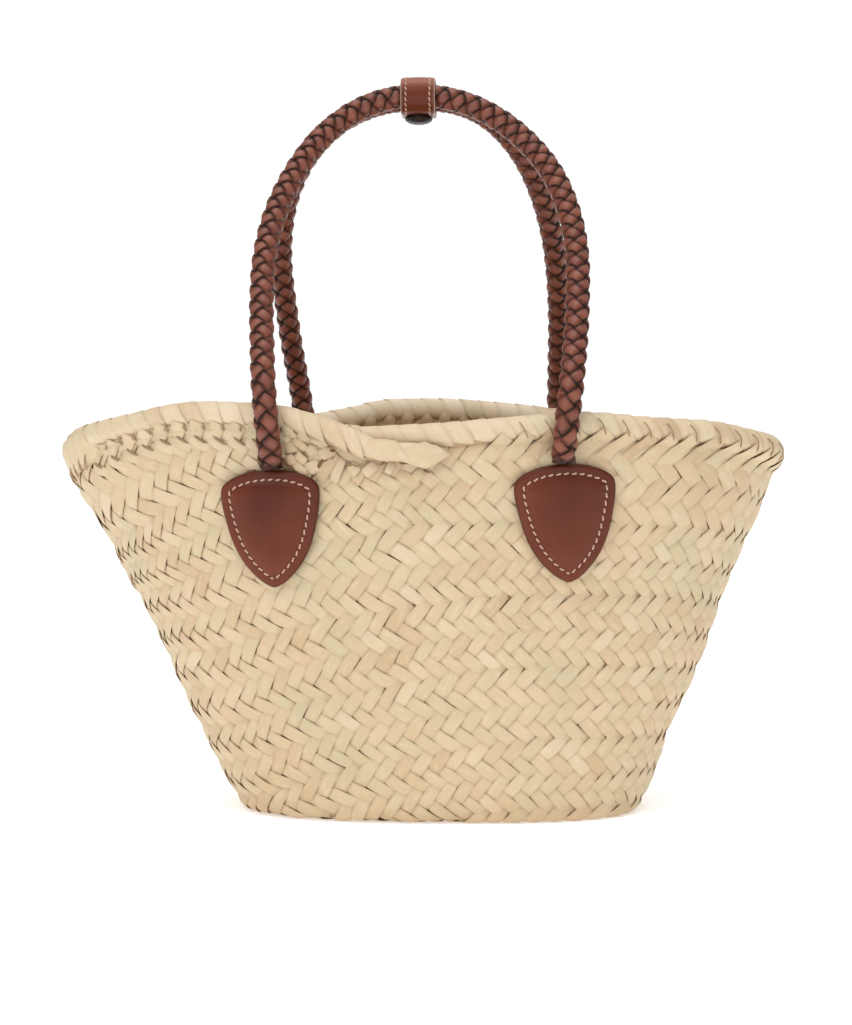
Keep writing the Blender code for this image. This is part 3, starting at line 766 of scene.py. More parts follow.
def woven_basket():
    """The braid outside, inside and on the base, the leaf that sews it, and its dark core."""
    straw = straw_material("palm_leaf")
    # painted shade: a warmer, slightly darker copy of the leaf for the inside of the basket
    inner = straw_material("palm_leaf_inside_shaded", (1.04, 0.9776, 0.8632))
    layers = {name: Strips() for name in ("outside", "inside", "base", "seams", "core")}
    bands = [(first, 4, row_up) for first in range(-4, 24, 4)]
    bands = bands + [(first, 2, base_up) for first in (-7, -5, -3)]
    for first, rows, heights in bands:
        band = make_band(first, rows, heights)
        numbers = range(first, first + rows)
        if heights is row_up:
            weave(layers["outside"], band, numbers, False, WIDE_SECTION, 9)
        else:
            weave(layers["base"], band, numbers, False, THIN_SECTION, 6)
        weave(layers["inside"], band, numbers, True, THIN_SECTION, 6)
    seams(layers["seams"])
    base_joint(layers["seams"])
    core_shell(layers["core"])
    materials = {"inside": inner, "core": core_material()}
    for name, strips in layers.items():
        strips.piece("weave_" + name, materials.get(name, straw), "straw", ("basket_body",))


def roll_frames():
    """The roll at closely spaced turns: the turns, its half sizes, and its path with directions."""
    turns = np.linspace(ROLL[0, 0], ROLL[-1, 0], 1521)
    out, drop, thick, tall = (smooth_through(ROLL[:, 0], ROLL[:, i], turns) for i in range(1, 5))
    centres = wall_point(turns, np.ones(len(turns)), out * ROLL_DEPTH - WALL / 2)
    centres[:, 2] -= drop * ROLL_HEIGHT
    paths = unit(np.gradient(centres, axis=0))
    outward = unit(np.cross(paths, np.array([0.0, 0.0, 1.0])))
    path = (path_lengths(centres), centres, outward, np.cross(outward, paths))
    return turns, thick * ROLL_DEPTH / 2, tall * roll_swell(turns) * ROLL_HEIGHT / 2, path


def rim_wraps():
    """Leaf strips wound over the roll, each lapping the next, and the core beneath them."""
    turns, half_depths, half_heights, path = roll_frames()
    lengths = path[0]
    count = int(lengths[-1] / WRAP)
    shape = (count, 1, 1)
    section = np.array([(-0.56, 0.00), (-0.30, 0.10), (0.0, 0.14), (0.30, 0.12), (0.56, 0.00),
                        (0.50, -0.42), (-0.50, -0.42)])
    # degrees round the roll, from under its outer side over its top and down its inner side
    around = np.linspace(-70.0, 238.0, 19)[:, None]
    angle = np.radians(around)
    v = section[:, 0] * random.uniform(1.00, 1.08, shape)
    middle = (np.arange(count) + 0.5) * WRAP + random.normal(0, 0.0004, count)
    middle = middle[:, None, None]
    where = np.interp(middle, lengths, turns)
    # where the roll ends, the left end's plain wraps, and the bolder ones on the right
    ending = np.exp(-(((where - 258.0) / 7.0) ** 2))
    plain = smooth_step(230.0, 214.0, where) * smooth_step(150.0, 168.0, where)
    plain = plain * smooth_step(70.0, 20.0, around)
    bold = smooth_step(284.0, 294.0, np.where(where < 20, where + 360, where))
    lean = random.uniform(0.40, 0.62, shape) * (1 + 0.8 * ending)
    corner = smooth_step(-15.0, -60.0, around) * 0.34
    inner = smooth_step(185.0, 238.0, around) * 0.45
    v = np.where(v > 0, v * (1 - corner - inner), v)
    place = middle + v * WRAP - lean * 0.006 * (angle - math.radians(60.0))
    place = np.clip(place, 0.0, lengths[-1])
    swell = 0.30 + (section[:, 1] + (0.44 + 0.24 * bold) * v) * (1 - 0.75 * plain)
    swell = swell + 1.2 * ending * smooth_step(10.0, -60.0, around) * v
    swell = swell + random.normal(0, 0.05, shape)
    swell = swell - (1.3 - 0.6 * ending) * smooth_step(-8.0, -60.0, around)
    swell = swell - 1.0 * smooth_step(195.0, 238.0, around)
    deep = read_at(place, lengths, half_depths) + swell / 1000
    tall = read_at(place, lengths, half_heights) + swell / 1000
    points = tube(place, angle, deep, tall, *path)
    seed = random.random(shape)
    # painted light: the wraps of the rear roll get paler tones
    tone = np.clip(random.normal(0.66, 0.18, shape), 0, 1) + 0.55 * (where > 45) * (where < 135)
    tone = tone - 0.30 * (bold > 0.5)
    tone = tone + (0.64 - tone) * plain
    for brown_wrap in (225.0, 232.5):
        tone = np.where(np.abs(where - brown_wrap) < 1.7, 0.05, tone)
    # darker wrap edges, painted shade where each wrap laps the next, bolder on the right
    edge = smooth_step(0.45 - 0.07 * bold, 0.56, np.abs(v)) * (1 - 0.9 * plain)
    edge = np.minimum(edge * (0.5 + 1.2 * bold * (v > 0)), 1.0)
    wraps = Strips()
    wraps.add(points, join(v * WRAP, angle * 0.006, seed), join(tone, edge, 0.0))
    # a paler, bluer copy of the leaf for the roll, as a painted highlight
    wraps.piece("rim_wraps", straw_material("palm_leaf_rim_painted_highlight", (1.03, 1.035, 1.06), gloss=0.55), "straw",
                ("rim_roll",))
    angle = np.arange(10) * math.tau / 10
    place = np.linspace(0.0, lengths[-1], 360)[:, None]
    deep = read_at(place, lengths, half_depths) * 0.90
    tall = read_at(place, lengths, half_heights) * 0.90
    points = tube(place, angle, deep, tall, *path)[None]
    core = Strips()
    # the core is darkened with painted shade, for the gaps between the wraps
    core.add(points, points, np.array([0.2, 0.4, 0.35]))
    core.piece("rim_core", bpy.data.materials["palm_leaf"], "straw", ("rim_roll",))


def rim_bulge(turn, up):
    """How far the roll stands off the wall's outer face at a height, in metres."""
    drop = (1 - up) * rim_height(turn)
    tall = ROLL_HEIGHT / 2 * roll_swell(turn) + 0.0004
    round_out = np.sqrt(np.maximum(1 - (drop / tall) ** 2, 0.0)) * (ROLL_DEPTH / 2 + 0.0008)
    bulge = round_out - WALL / 2
    sharp = 0.0009
    return sharp * np.log(1 + np.exp(np.clip(bulge / sharp, -40, 40)))


def hem_up(row, turn):
    """Level rows for the hem, which ends at the roll all round."""
    return smooth_through([12, 16, 20, 24], [0.585, 0.765, 0.985, 1.18], row) + 0.0 * turn


def bulged(turn, up):
    """The wall's outer face and the roll's lower face above it, as one smooth surface."""
    return skin(turn, up) + rim_bulge(turn, up)[..., None] * flat_normal(turn, up)


def draped(turn, up):
    """The left end's hem, which falls from the roll's middle to the wall in one slope."""
    drop = (1 - up) * rim_height(turn)
    slope = np.maximum(0.0050 * (1 - drop / 0.020), 0.0)
    out = np.maximum(rim_bulge(turn, up), slope)
    return skin(turn, up) + out[..., None] * flat_normal(turn, up)


def inner_face(turn, up):
    """The wall's inner face and the roll's lower face above it, as one smooth surface."""
    return skin(turn, up) - (WALL + rim_bulge(turn, up))[..., None] * flat_normal(turn, up)


def leaflets(strips, turn, up, length, width, angle, lift, tone, dark=0.0, point=0.35, tip=0.0,
             surface=bulged):
    """Small leaves laid on a surface: sizes and lift in millimetres, and the angle they rise at in
    degrees. `point` is how much they narrow to both ends, and `tip` to the far end alone."""
    spots = np.broadcast_arrays(turn, up, length, width, angle, lift, tone, dark, point)
    turn, up, length, width, angle, lift, tone, dark, point = (
        np.asarray(v, float).reshape(-1, 1, 1) for v in spots)
    t = np.linspace(-1, 1, 8)[:, None]
    section = np.array([(-0.50, 0.00), (-0.25, 0.14), (0.0, 0.20), (0.25, 0.14), (0.50, 0.00),
                        (0.40, -0.45), (-0.40, -0.45)])
    v = section[:, 0] * (1 - point * np.abs(t) ** 4)
    v = v * (1 - tip * smooth_step(-0.9, 1.0, t))
    cos = np.cos(np.radians(angle))
    sin = np.sin(np.radians(angle))
    along = t * length / 2 * cos - v * width * sin
    rise = t * length / 2 * sin + v * width * cos
    step = np.linalg.norm(wall_point(turn + 0.5, up) - wall_point(turn - 0.5, up), axis=-1)
    spot = turn + along / 1000 / step
    line = up + rise / 1000 / rim_height(turn)
    at, normal = normals_at(spot, line, surface)
    if surface is inner_face:
        normal = -normal
    roll = random.normal(0.35, 0.30, turn.shape)
    height = lift + section[:, 1] - 0.95 * smooth_step(0.45, 1.0, np.abs(t)) - roll * v
    points = at + normal * height[..., None] / 1000
    edge = smooth_step(0.30, 0.48, np.abs(v)) * 0.35 + smooth_step(0.7, 1.0, np.abs(t)) * 0.5
    grain = join(v * width / 1000, t * length / 2000, random.random(turn.shape))
    strips.add(points, grain, join(tone, np.minimum(edge, 1.0), dark))


# The left end's hem: turn and share of height of the gaps beneath its wraps
HEM_GAPS = np.array([(207, 0.958), (213, 0.966), (218, 0.973),
                     (222, 0.976), (226, 0.980), (229.5, 0.979), (233, 0.977), (236.5, 0.975),
                     (240, 0.975), (243, 0.974)])


def left_hem(strips):
    """The left end's hem: a plain leaf from the roll down to the wall, with dark leaves as painted
    shade in its small gaps and creases.
    """
    turn = np.linspace(157.0, 249.0, 70)[:, None]
    low = 0.905 + 0.026 * smooth_step(184.0, 208.0, turn) + 0.014 * smooth_step(208.0, 230.0, turn)
    low = low + (0.990 - low) * smooth_step(184.0, 158.0, turn)
    share = np.linspace(0.0, 1.0, 13)
    up = low + (1.012 - low) * share
    height = 0.75 - 1.2 * smooth_step(0.80, 1.0, share) - 1.2 * smooth_step(0.20, 0.0, share)
    wall = smooth_step(203.0, 212.0, turn)
    height = height - wall * (0.45 + 1.8 * smooth_step(0.34, 0.52, share)
                              + 1.0 * smooth_step(0.25, 0.0, share))
    height = height - 1.6 * (smooth_step(244.0, 249.0, turn) + smooth_step(161.0, 157.0, turn))
    height = height + 0.10 * np.sin(np.radians(turn * 97.0 - up * 1500.0))
    at, normal = normals_at(turn + 0 * up, up, draped)
    at_wall, normal_wall = normals_at(turn + 0 * up, up, bulged)
    at = at + (at_wall - at) * wall[..., None]
    normal = normal + (normal_wall - normal) * wall[..., None]
    outer = at + normal * height[..., None] / 1000
    inner = outer - normal * 0.0004
    points = np.concatenate([outer, inner[:, ::-1]], axis=1)[None]
    tone = 0.64 + 0.18 * np.sin(np.radians(turn * 71.0 - up * 1100.0))
    tone = np.concatenate([tone, tone], axis=1)
    rise = np.concatenate([share, share[::-1]])
    grain = join(turn * 0.0015, rise * 0.02, 0.6)
    # painted shade along the sheet's lower edge, where it tucks into the wall
    edge = smooth_step(0.14, 0.0, rise) * 0.8 * (1 - wall) + 0 * tone
    leaf = join(tone, edge, 0.0)
    strips.add(points, grain[None], leaf[None])
    # dark creases of painted shade on the draped end
    turn = np.array([182.0, 187.0, 192.0, 196.5, 201.0, 204.5])
    leaflets(strips, turn, 0.926 + 0.0006 * (turn - 182), 8.5, 1.1, 82 - (turn - 182), 1.05, 0.3,
             dark=0.55, point=0.9, surface=draped)
    turn = HEM_GAPS[:, 0]
    up = HEM_GAPS[:, 1]
    count = len(turn)
    size = random.uniform(0.6, 1.1, count)
    # at each gap: a dark wedge and a dark slit as painted shade, then pale leaves beside them
    leaflets(strips, turn - 0.2, up - 0.003, 4.0 * size, 2.3 * size, 54, 1.10, 0.35, dark=0.55,
             point=0.2, tip=0.8)
    leaflets(strips, turn + 2.3, up - 0.035, 6.0 + 2.6 * size, 1.2, -34, 1.25, 0.3, dark=0.70,
             point=0.9)
    leaflets(strips, turn + 1.9, up - 0.013, 9.0, 6.8, 58 + random.normal(0, 5, count), 0.80,
             random.uniform(0.50, 0.90, count), point=0.10)
    leaflets(strips, turn + 1.9, up - 0.046, 12.0, 5.0, -30 + random.normal(0, 3, count), 0.75,
             random.uniform(0.45, 0.95, count), point=0.10)


def inner_hem(strips):
    """Short leaves under the rear roll, which show across the mouth."""
    turn = np.arange(48.0, 133.0, 3.3)
    count = len(turn)
    # paler tones, painted light that lifts the shade under the rear roll
    leaflets(strips, turn, 0.968 + random.normal(0, 0.002, count), 11.0, 5.8,
             -48 + random.normal(0, 5, count), 1.3, random.uniform(0.6, 1.0, count), point=0.2,
             surface=inner_face)


# The crowded leaves beside the left handle's foot: turn, share of height, length, width, angle,
# lift, tone and darkness; the dark ones are painted shade in the gaps and creases
CROWDED = np.array([
    (249.6, 0.960, 7.2, 4.2, -24, 0.75, 0.55, 0.00), (250.8, 0.976, 7.0, 4.2, -26, 0.95, 0.70, 0.00),
    (252.8, 0.973, 7.0, 3.8, -30, 1.00, 0.45, 0.00), (255.1, 0.970, 9.6, 4.6, -16, 1.05, 0.60, 0.00),
    (252.1, 0.953, 8.2, 4.6, -22, 0.80, 0.35, 0.00), (253.9, 0.942, 7.0, 4.4, 28, 0.75, 0.50, 0.00),
    (256.2, 0.944, 9.6, 4.6, 33, 1.10, 0.40, 0.00), (250.5, 0.936, 6.6, 4.4, 24, 0.60, 0.30, 0.00),
    (252.0, 0.917, 6.6, 4.2, -32, 0.70, 0.45, 0.00), (250.5, 0.907, 6.6, 4.2, 26, 0.55, 0.25, 0.00),
    (254.0, 0.902, 8.6, 5.0, 32, 0.90, 0.55, 0.00), (251.8, 0.890, 7.6, 4.4, -28, 0.65, 0.40, 0.00),
    (251.9, 0.981, 4.6, 1.5, -8, 0.95, 0.20, 0.60), (254.7, 0.985, 8.0, 1.3, -14, 0.95, 0.20, 0.65),
    (257.2, 0.955, 3.6, 1.8, 10, 1.05, 0.20, 0.70), (256.4, 0.932, 8.6, 1.5, 48, 1.00, 0.20, 0.70),
    (253.0, 0.957, 4.4, 1.1, -34, 0.85, 0.20, 0.60), (251.2, 0.923, 4.0, 1.3, 30, 0.70, 0.20, 0.60),
    (250.4, 0.887, 8.0, 1.9, -12, 0.55, 0.10, 1.00), (252.9, 0.928, 3.8, 1.2, -30, 0.75, 0.20, 0.55),
    # the open fold that leans up to the roll, and its crease in painted shade
    (254.9, 0.908, 19.0, 1.9, 55, 0.95, 0.20, 0.82), (256.2, 0.910, 18.0, 5.2, 56, 1.00, 0.12, 0.10),
    (257.8, 0.908, 13.5, 4.2, 64, 1.10, 0.75, 0.00), (257.0, 0.938, 4.0, 3.4, 56, 1.15, 0.20, 0.45),
    # leaves under the roll's loose end, and dark leaves as painted shade in the gaps between them
    (260.2, 0.928, 9.0, 3.0, -12, 0.80, 0.20, 0.62), (260.4, 0.920, 6.5, 4.8, 50, 0.90, 0.60, 0.00),
    (262.9, 0.924, 7.8, 4.6, 42, 0.95, 0.85, 0.00), (264.9, 0.939, 3.2, 1.3, 30, 0.95, 0.20, 0.60),
    (266.0, 0.928, 6.2, 3.4, 62, 0.90, 0.80, 0.00), (268.4, 0.938, 5.6, 1.1, 3, 0.95, 0.20, 0.60),
    (270.3, 0.909, 6.6, 4.2, 46, 0.85, 0.50, 0.00), (271.6, 0.916, 4.0, 0.9, -32, 0.95, 0.20, 0.55),
    # the shadows at the handles' feet
    (249.4, 0.898, 5.0, 2.0, -52, 0.50, 0.10, 1.00), (243.2, 0.867, 6.5, 1.7, 16, 0.40, 0.10, 1.00),
    (291.0, 0.903, 7.5, 1.8, 14, 0.45, 0.10, 1.00), (294.8, 0.907, 5.5, 1.6, -24, 0.40, 0.10, 1.00),
])


def crumpled_leaves(strips):
    """The crowded leaves between the left handle's foot and the roll's loose end; the dark ones are
    painted shade.
    """
    turn, up, length, width, angle, lift, tone, dark = CROWDED.T
    painted_shade_leaf = dark > 0.3
    leaflets(strips, turn, up, length * np.where(painted_shade_leaf, 1.0, 1.06), width * np.where(painted_shade_leaf, 0.8, 1.12),
             angle, lift + 0.40 - 0.10 * painted_shade_leaf, tone, np.minimum(dark + 0.15 * painted_shade_leaf, 1.0),
             point=np.where(painted_shade_leaf, 0.85, 0.22))


# The roll's loose end: two flat leaves over it. Turn, share of height of their lower and upper
# edges, and how far their middle stands off the wall in millimetres.
END_LEAVES = (
    ((262.3, 0.960, 0.992, 10.6), (263.4, 0.954, 0.997, 11.4), (264.6, 0.950, 1.001, 11.7),
     (266.0, 0.945, 1.000, 11.5), (267.4, 0.944, 0.995, 10.8), (268.8, 0.948, 0.970, 9.2)),
    ((267.6, 0.946, 0.972, 9.6), (268.9, 0.938, 0.977, 9.7), (270.2, 0.929, 0.985, 9.3),
     (271.6, 0.923, 0.991, 8.6), (272.9, 0.930, 0.980, 7.3), (274.1, 0.942, 0.965, 6.0),
     (275.2, 0.951, 0.956, 4.6)),
)


def loose_end(strips):
    """The flat leaves that cover the roll's end."""
    shares = np.array([0.0, 0.22, 0.5, 0.78, 1.0])
    crown = np.array([-0.95, -0.15, 0.0, -0.12, -0.75])
    for table in END_LEAVES:
        turn, low, high, out = (np.array(column) for column in zip(*table))
        size = (high - low) / (high - low).max()
        turns = turn[:, None]
        ups = low[:, None] + (high - low)[:, None] * shares
        front = out[:, None] + crown * 1.6 * size[:, None]
        flat = flat_normal(turns, ups)
        outer = wall_point(turns + 0 * ups, ups) + flat * front[..., None] / 1000
        inner = wall_point(turns + 0 * ups, ups) + flat * (front - 0.55)[..., None] / 1000
        points = np.concatenate([outer, inner[:, ::-1]], axis=1)[None]
        place = np.concatenate([shares, shares[::-1]]) - 0.5
        step = np.arange(len(turn))[:, None] / (len(turn) - 1) - 0.5
        grain = join(place * 0.009, step * 0.02, 0.37)
        edge = 0.35 * smooth_step(0.40, 0.50, np.abs(place)) + 0 * step
        leaf = join(0.82 + 0 * edge, edge, 0.0)
        strips.add(points, grain[None], leaf[None])


def hem():
    """Strips that rise from the wall onto the roll's lower face and tuck the wraps in."""
    band = make_band(16, 4, hem_up)
    turns = np.mod(np.interp(np.arange(band.count) + 0.75, band.columns, band.turns), 360.0)
    columns = (np.arange(band.count) + 0.75)[(turns < 172) | (turns > 280)]
    count = len(columns)
    t = np.linspace(-1.45, 1.22, 12)[:, None]
    v = WIDE_SECTION[:, 0]
    shape = (count, 1, 1)
    width = random.uniform(0.86, 1.0, shape)
    narrow = 1 - random.uniform(0.10, 0.45, shape) * np.exp(-((t + 0.15) / 0.55) ** 2)
    v = v * width * np.where(v > 0, narrow, 1.0)
    side = t / 2
    over = v / 2 + random.normal(0, 0.02, shape)
    height = 0.45 - 0.9 * smooth_step(-0.6, -1.45, t) - 0.55 * smooth_step(0.85, 1.22, t)
    height = height + WIDE_SECTION[:, 1] - 0.55 * v + random.normal(0, 0.10, shape)
    spot = columns[:, None, None] + side + over + random.normal(0, 0.03, shape)
    line = 19.42 + side - over
    turn, up = lattice_place(band, spot, line)
    at, normal = normals_at(turn, up, bulged)
    points = at + normal * height[..., None] / 1000
    tone = np.clip(random.normal(0.45, 0.28, shape), 0, 1)
    seed = random.random(shape)
    grain = join(v * 0.0075, t * 0.0075, seed)
    edge = smooth_step(0.36, 0.50, np.abs(v)) * 0.6
    leaf = join(tone, edge, 0 * tone)
    strips = Strips()
    strips.add(points, grain, leaf)
    tips = lattice_place(band, columns + 0.75, np.full(count, 19.67))
    right = (tips[0] > 288) & (tips[0] < 352)
    # thin dark leaves, painted shade along the joints of the wraps on the right
    leaflets(strips, tips[0][right] - 1.7, tips[1][right] + 0.031, 9.5, 0.50, -62, 1.15, 0.3, dark=0.7,
             point=0.9)
    left_hem(strips)
    inner_hem(strips)
    crumpled_leaves(strips)
    loose_end(strips)
    strips.piece("rim_hem", bpy.data.materials["palm_leaf"], "straw", ("rim_roll",))


def flat_normal(turn, up):
    """Level direction out of the wall."""
    ahead = wall_point(turn + 0.4, up) - wall_point(turn - 0.4, up)
    ahead = ahead * np.array([1.0, 1.0, 0.0])
    return unit(np.cross(ahead, np.array([0.0, 0.0, 1.0])))


def face_turn(x, up, facing):
    """Turn of the point of the front (-1) or rear (1) wall at a given x."""
    left, right, _, square = half_sizes(up)
    across = x - MOUTH_SHIFT * up
    share = np.minimum(np.abs(across) / np.where(across < 0, left, right), 1.0)
    turn = np.arctan2((1 - share**square) ** (1 / square), np.copysign(share, across))
    return facing * np.degrees(turn)


def face_point(x, z, facing, out=0.0):
    """The point of the front or rear wall at x and z, moved `out` metres off it."""
    up = z / RIM_HEIGHT
    for _ in range(4):
        turn = face_turn(x, up, facing)
        up = z / rim_height(turn)
    here = wall_point(turn, up)
    along = wall_point(turn + 0.5, up) - here
    rising = wall_point(turn, up + 0.005) - here
    return here + np.asarray(out)[..., None] * unit(np.cross(along, rising))


def handle_depth(x, z, foot_top, facing):
    """Distance of a handle's middle line from the bag's middle plane."""
    radius = HANDLE_DIAMETER / 2
    rim_z = rim_height(face_turn(x, 1.0, facing))
    wall_depth = np.abs(face_point(x, rim_z, facing)[..., 1])
    rim_depth = wall_depth - WALL / 2 + ROLL_DEPTH / 2 + radius + 2 * CLEARANCE
    rise = np.clip((z - rim_z) / (HANDLE_CROWN - rim_z), 0.0, 1.0)
    share = smooth_through(LEAN[:, 0], LEAN[:, 1], rise)
    above = rim_depth + (radius + CLEARANCE - rim_depth) * share
    foot_depth = np.abs(face_point(x, foot_top, facing)[..., 1]) + radius
    foot_depth = foot_depth + ROW_RELIEF + 2 * CLEARANCE
    height = (z - foot_top) / (rim_z - foot_top)
    below = foot_depth + (rim_depth - foot_depth) * height**2 * (3 - 2 * height)
    return np.where(z > rim_z, above, below)


def half_handle(side, facing, points):
    """Points of one half of a handle's middle line, from its foot to the crown."""
    front = facing < 0
    foot_top = PATCH_LEFT_TOP if side < 0 else PATCH_RIGHT_TOP
    span = FRONT_HANDLE_SPAN if front else REAR_HANDLE_SPAN
    roundness = FRONT_HANDLE_ROUNDNESS if front else REAR_HANDLE_ROUNDNESS
    legs = foot_top + (HANDLE_SHOULDER - foot_top) * np.linspace(0, 1, points, endpoint=False)
    lowest = min(PATCH_LEFT_TOP, PATCH_RIGHT_TOP)
    below = (HANDLE_SHOULDER - legs) / (HANDLE_SHOULDER - lowest)
    leg_across = (span - (span - HANDLE_FOOT_SPAN) * below**LEG_SPREAD) / 2
    angles = np.linspace(0, math.pi / 2, points)
    arch_across = np.maximum(np.cos(angles), 0.0) ** (2 / roundness) * span / 2
    share = 1 - (2 * arch_across / span) ** roundness
    arch = HANDLE_SHOULDER + (HANDLE_CROWN - HANDLE_SHOULDER) * share ** (1 / roundness)
    across = np.concatenate([leg_across, arch_across])
    z = np.concatenate([legs, arch])
    rise = np.maximum(0.0, (z - RIM_HEIGHT) / (HANDLE_CROWN - RIM_HEIGHT))
    sway = CROWN_SWAY * smooth_through(SWAY[:, 0], SWAY[:, 1 if front else 2], rise)
    nudge = smooth_through(NUDGE[:, 0], NUDGE[:, 1 if side < 0 else 2], z)
    x = MOUTH_SHIFT + HANDLE_SHIFT + side * across + sway + nudge
    return join(x, facing * handle_depth(x, z, foot_top, facing), z)


def handle_path(facing):
    """Evenly spaced points of a handle's middle line, foot to foot, smoothed where parts meet."""
    path = np.concatenate([half_handle(-1, facing, 90), half_handle(1, facing, 90)[-2::-1]])
    path = path[np.diff(path_lengths(path), prepend=-1.0) > 1e-7]
    lengths = path_lengths(path)
    path = read_at(np.linspace(0, lengths[-1], 600), lengths, path)
    for _ in range(12):
        path[1:-1] = path[1:-1] * 0.5 + (path[2:] + path[:-2]) * 0.25
    return path_lengths(path), path


BRAID_SECTION = np.array([(-0.50, -0.14), (-0.395, 0.34), (-0.26, 0.64), (0.0, 0.86), (0.26, 0.64),
                          (0.395, 0.34), (0.50, -0.14), (0.40, -0.62), (-0.40, -0.62)])
STRANDS_EACH_WAY = 3
BRAID_RADIUS = 4.82
BRAID_SWING = 0.74
BRAID_CORE = 0.0038
# Length of one lobe of the braid along a handle, from foot to foot, and how far its columns have
# turned there from facing the camera
BRAID_LOBES = np.array([(0.00, 0.0096, -35), (0.18, 0.0091, -35), (0.34, 0.0083, -35),
                        (0.50, 0.0086, -48), (0.66, 0.0082, -48), (0.80, 0.0086, -45),
                        (0.88, 0.0090, -36), (1.00, 0.0095, -26)])


def braided_handle(name, facing, material):
    """Six flat strands, three wound each way, that pass over and under each other."""
    lengths, path = handle_path(facing)
    tangents = unit(np.gradient(path, axis=0))
    front = np.array([0.0, -1.0, 0.0])
    normals = unit(front - tangents * (tangents @ front)[:, None])
    binormals = np.cross(tangents, normals)
    lines = (lengths, path, normals, binormals)
    total = lengths[-1]
    hub = path * np.array([0.0, 1.0, 0.0]) + np.array([MOUTH_SHIFT + HANDLE_SHIFT, 0.0, 0.0])
    hub[:, 2] = np.minimum(path[:, 2], HANDLE_SHOULDER)
    spread = unit(path - hub)
    share = np.linspace(0, 1, 400)
    lobe = smooth_through(BRAID_LOBES[:, 0], BRAID_LOBES[:, 1], share)
    columns = np.radians(smooth_through(BRAID_LOBES[:, 0], BRAID_LOBES[:, 2], share))
    pitch = lobe * STRANDS_EACH_WAY
    turns = np.concatenate([[0], np.cumsum((total / 399) * 2 / (pitch[1:] + pitch[:-1]))])
    stations = int(turns[-1] * 42)
    strips = Strips()
    for way in (1, -1):
        for number in range(STRANDS_EACH_WAY):
            start = number * math.tau / STRANDS_EACH_WAY
            s = np.linspace(0, turns[-1], stations)[:, None]
            place = np.interp(s, turns, share * total)
            length = np.interp(s, turns, pitch) * 1000
            slope = length / (math.tau * BRAID_RADIUS)
            v = BRAID_SECTION[:, 0]
            width = length / STRANDS_EACH_WAY / np.hypot(1, slope)
            facing_way = way * math.tau * s + start + np.interp(s, turns, columns)
            ray = (np.cos(facing_way) * read_at(place[:, 0], lengths, normals)
                   + np.sin(facing_way) * read_at(place[:, 0], lengths, binormals))
            outer = np.sum(ray * read_at(place[:, 0], lengths, spread), axis=-1)[:, None]
            offset = v * width * (0.98 - 0.06 * smooth_step(-0.3, 0.8, outer))
            angle = way * math.tau * s + start
            angle = angle + way * offset * slope / np.hypot(1, slope) / BRAID_RADIUS
            place = np.clip(place - offset / np.hypot(1, slope) / 1000, 0, total)
            crossed = angle + way * math.tau * np.interp(place, share * total, turns)
            wave = way * np.cos(crossed * STRANDS_EACH_WAY / 2 + math.pi * number)
            wave = np.sin(1.3 * wave) / math.sin(1.3)
            radius = BRAID_RADIUS + BRAID_SWING * wave + BRAID_SECTION[:, 1]
            twist = angle + np.interp(place, share * total, columns)
            points = tube(place, twist, radius / 1000, radius / 1000, *lines)
            # painted highlight, partly wear, on the crown of each lobe
            painted_light = smooth_step(0.1, 1.0, wave) * np.maximum(1 - (v / 0.38) ** 2, 0.0)
            grain = join(v * 0.007, place, painted_light)
            # dyed edges, darker on the arch's outer side as painted shade in the gaps that open there
            edge = np.where(np.abs(v) > 0.39, 1.0, 0.0) * (0.48 + 0.52 * smooth_step(-0.7, 0.1, outer))
            foot = np.minimum(place, total - place)
            # painted shade where a strand dives under the next, and at the handle's feet
            under = np.maximum(smooth_step(0.25, -0.50, wave), 0.9 * smooth_step(0.0060, 0.0005, foot))
            tone = 0.5 + 0.5 * np.sin(place * 420 + start * 3 + way * 1.3)
            leaf = join(tone, edge, under)
            strips.add(points[None], grain[None], leaf[None])
    angles = np.arange(8) * math.tau / 8
    place = np.linspace(0, total, 240)[:, None]
    core = tube(place, angles, BRAID_CORE, BRAID_CORE, *lines)
    # the core is painted black, as shade between the strands
    black = np.array([0.0, 1.0, 1.0])
    strips.add(core[None], black, black)
    strips.piece(name, material, "braided_leather", (name.replace("braid", "handle"),))


def shield_outline(points):
    """The shield's outline as evenly spaced points from its crown, and the way out at each."""
    right = SHIELD * np.array([PATCH_WIDTH / 2, PATCH_HEIGHT])
    lengths = path_lengths(right)
    fine = np.linspace(0, lengths[-1], 400)
    right = np.stack([smooth_through(lengths, right[:, i], fine) for i in (0, 1)], axis=-1)
    whole = np.concatenate([right, right[-2:0:-1] * np.array([-1.0, 1.0])])
    closed = np.concatenate([whole, whole[:1]])
    lengths = path_lengths(closed)
    outline = read_at(np.linspace(0, lengths[-1], points, endpoint=False), lengths, closed)
    for _ in range(2):
        outline = outline * 0.5 + (np.roll(outline, 1, 0) + np.roll(outline, -1, 0)) * 0.25
    ahead = unit(np.roll(outline, -1, 0) - np.roll(outline, 1, 0))
    return outline, np.stack([ahead[:, 1], -ahead[:, 0]], axis=-1)


# A shield from its back round its edge to its middle: inset and height in millimetres, and how
# dark it is there, darker again in the sewn channel as painted shade. Then its dome: share of the way
# in to its middle, and height.
SHIELD_LAYERS = ((1.4, 0.0, 1.0), (0.5, 0.2, 1.0), (0.05, 0.9, 1.0), (0.0, 1.7, 0.95),
                 (0.1, 2.5, 0.85), (0.5, 3.05, 0.55), (1.1, 3.35, 0.28), (2.0, 3.45, 0.20),
                 (3.2, 3.45, 0.22), (4.1, 3.36, 0.40), (4.6, 3.22, 0.62), (5.1, 3.34, 0.45),
                 (5.7, 3.62, 0.14), (6.6, 4.10, 0.0))
SHIELD_DOME = ((0.14, 4.55), (0.30, 4.95), (0.48, 5.25), (0.66, 5.42), (0.84, 5.50), (0.96, 5.52))


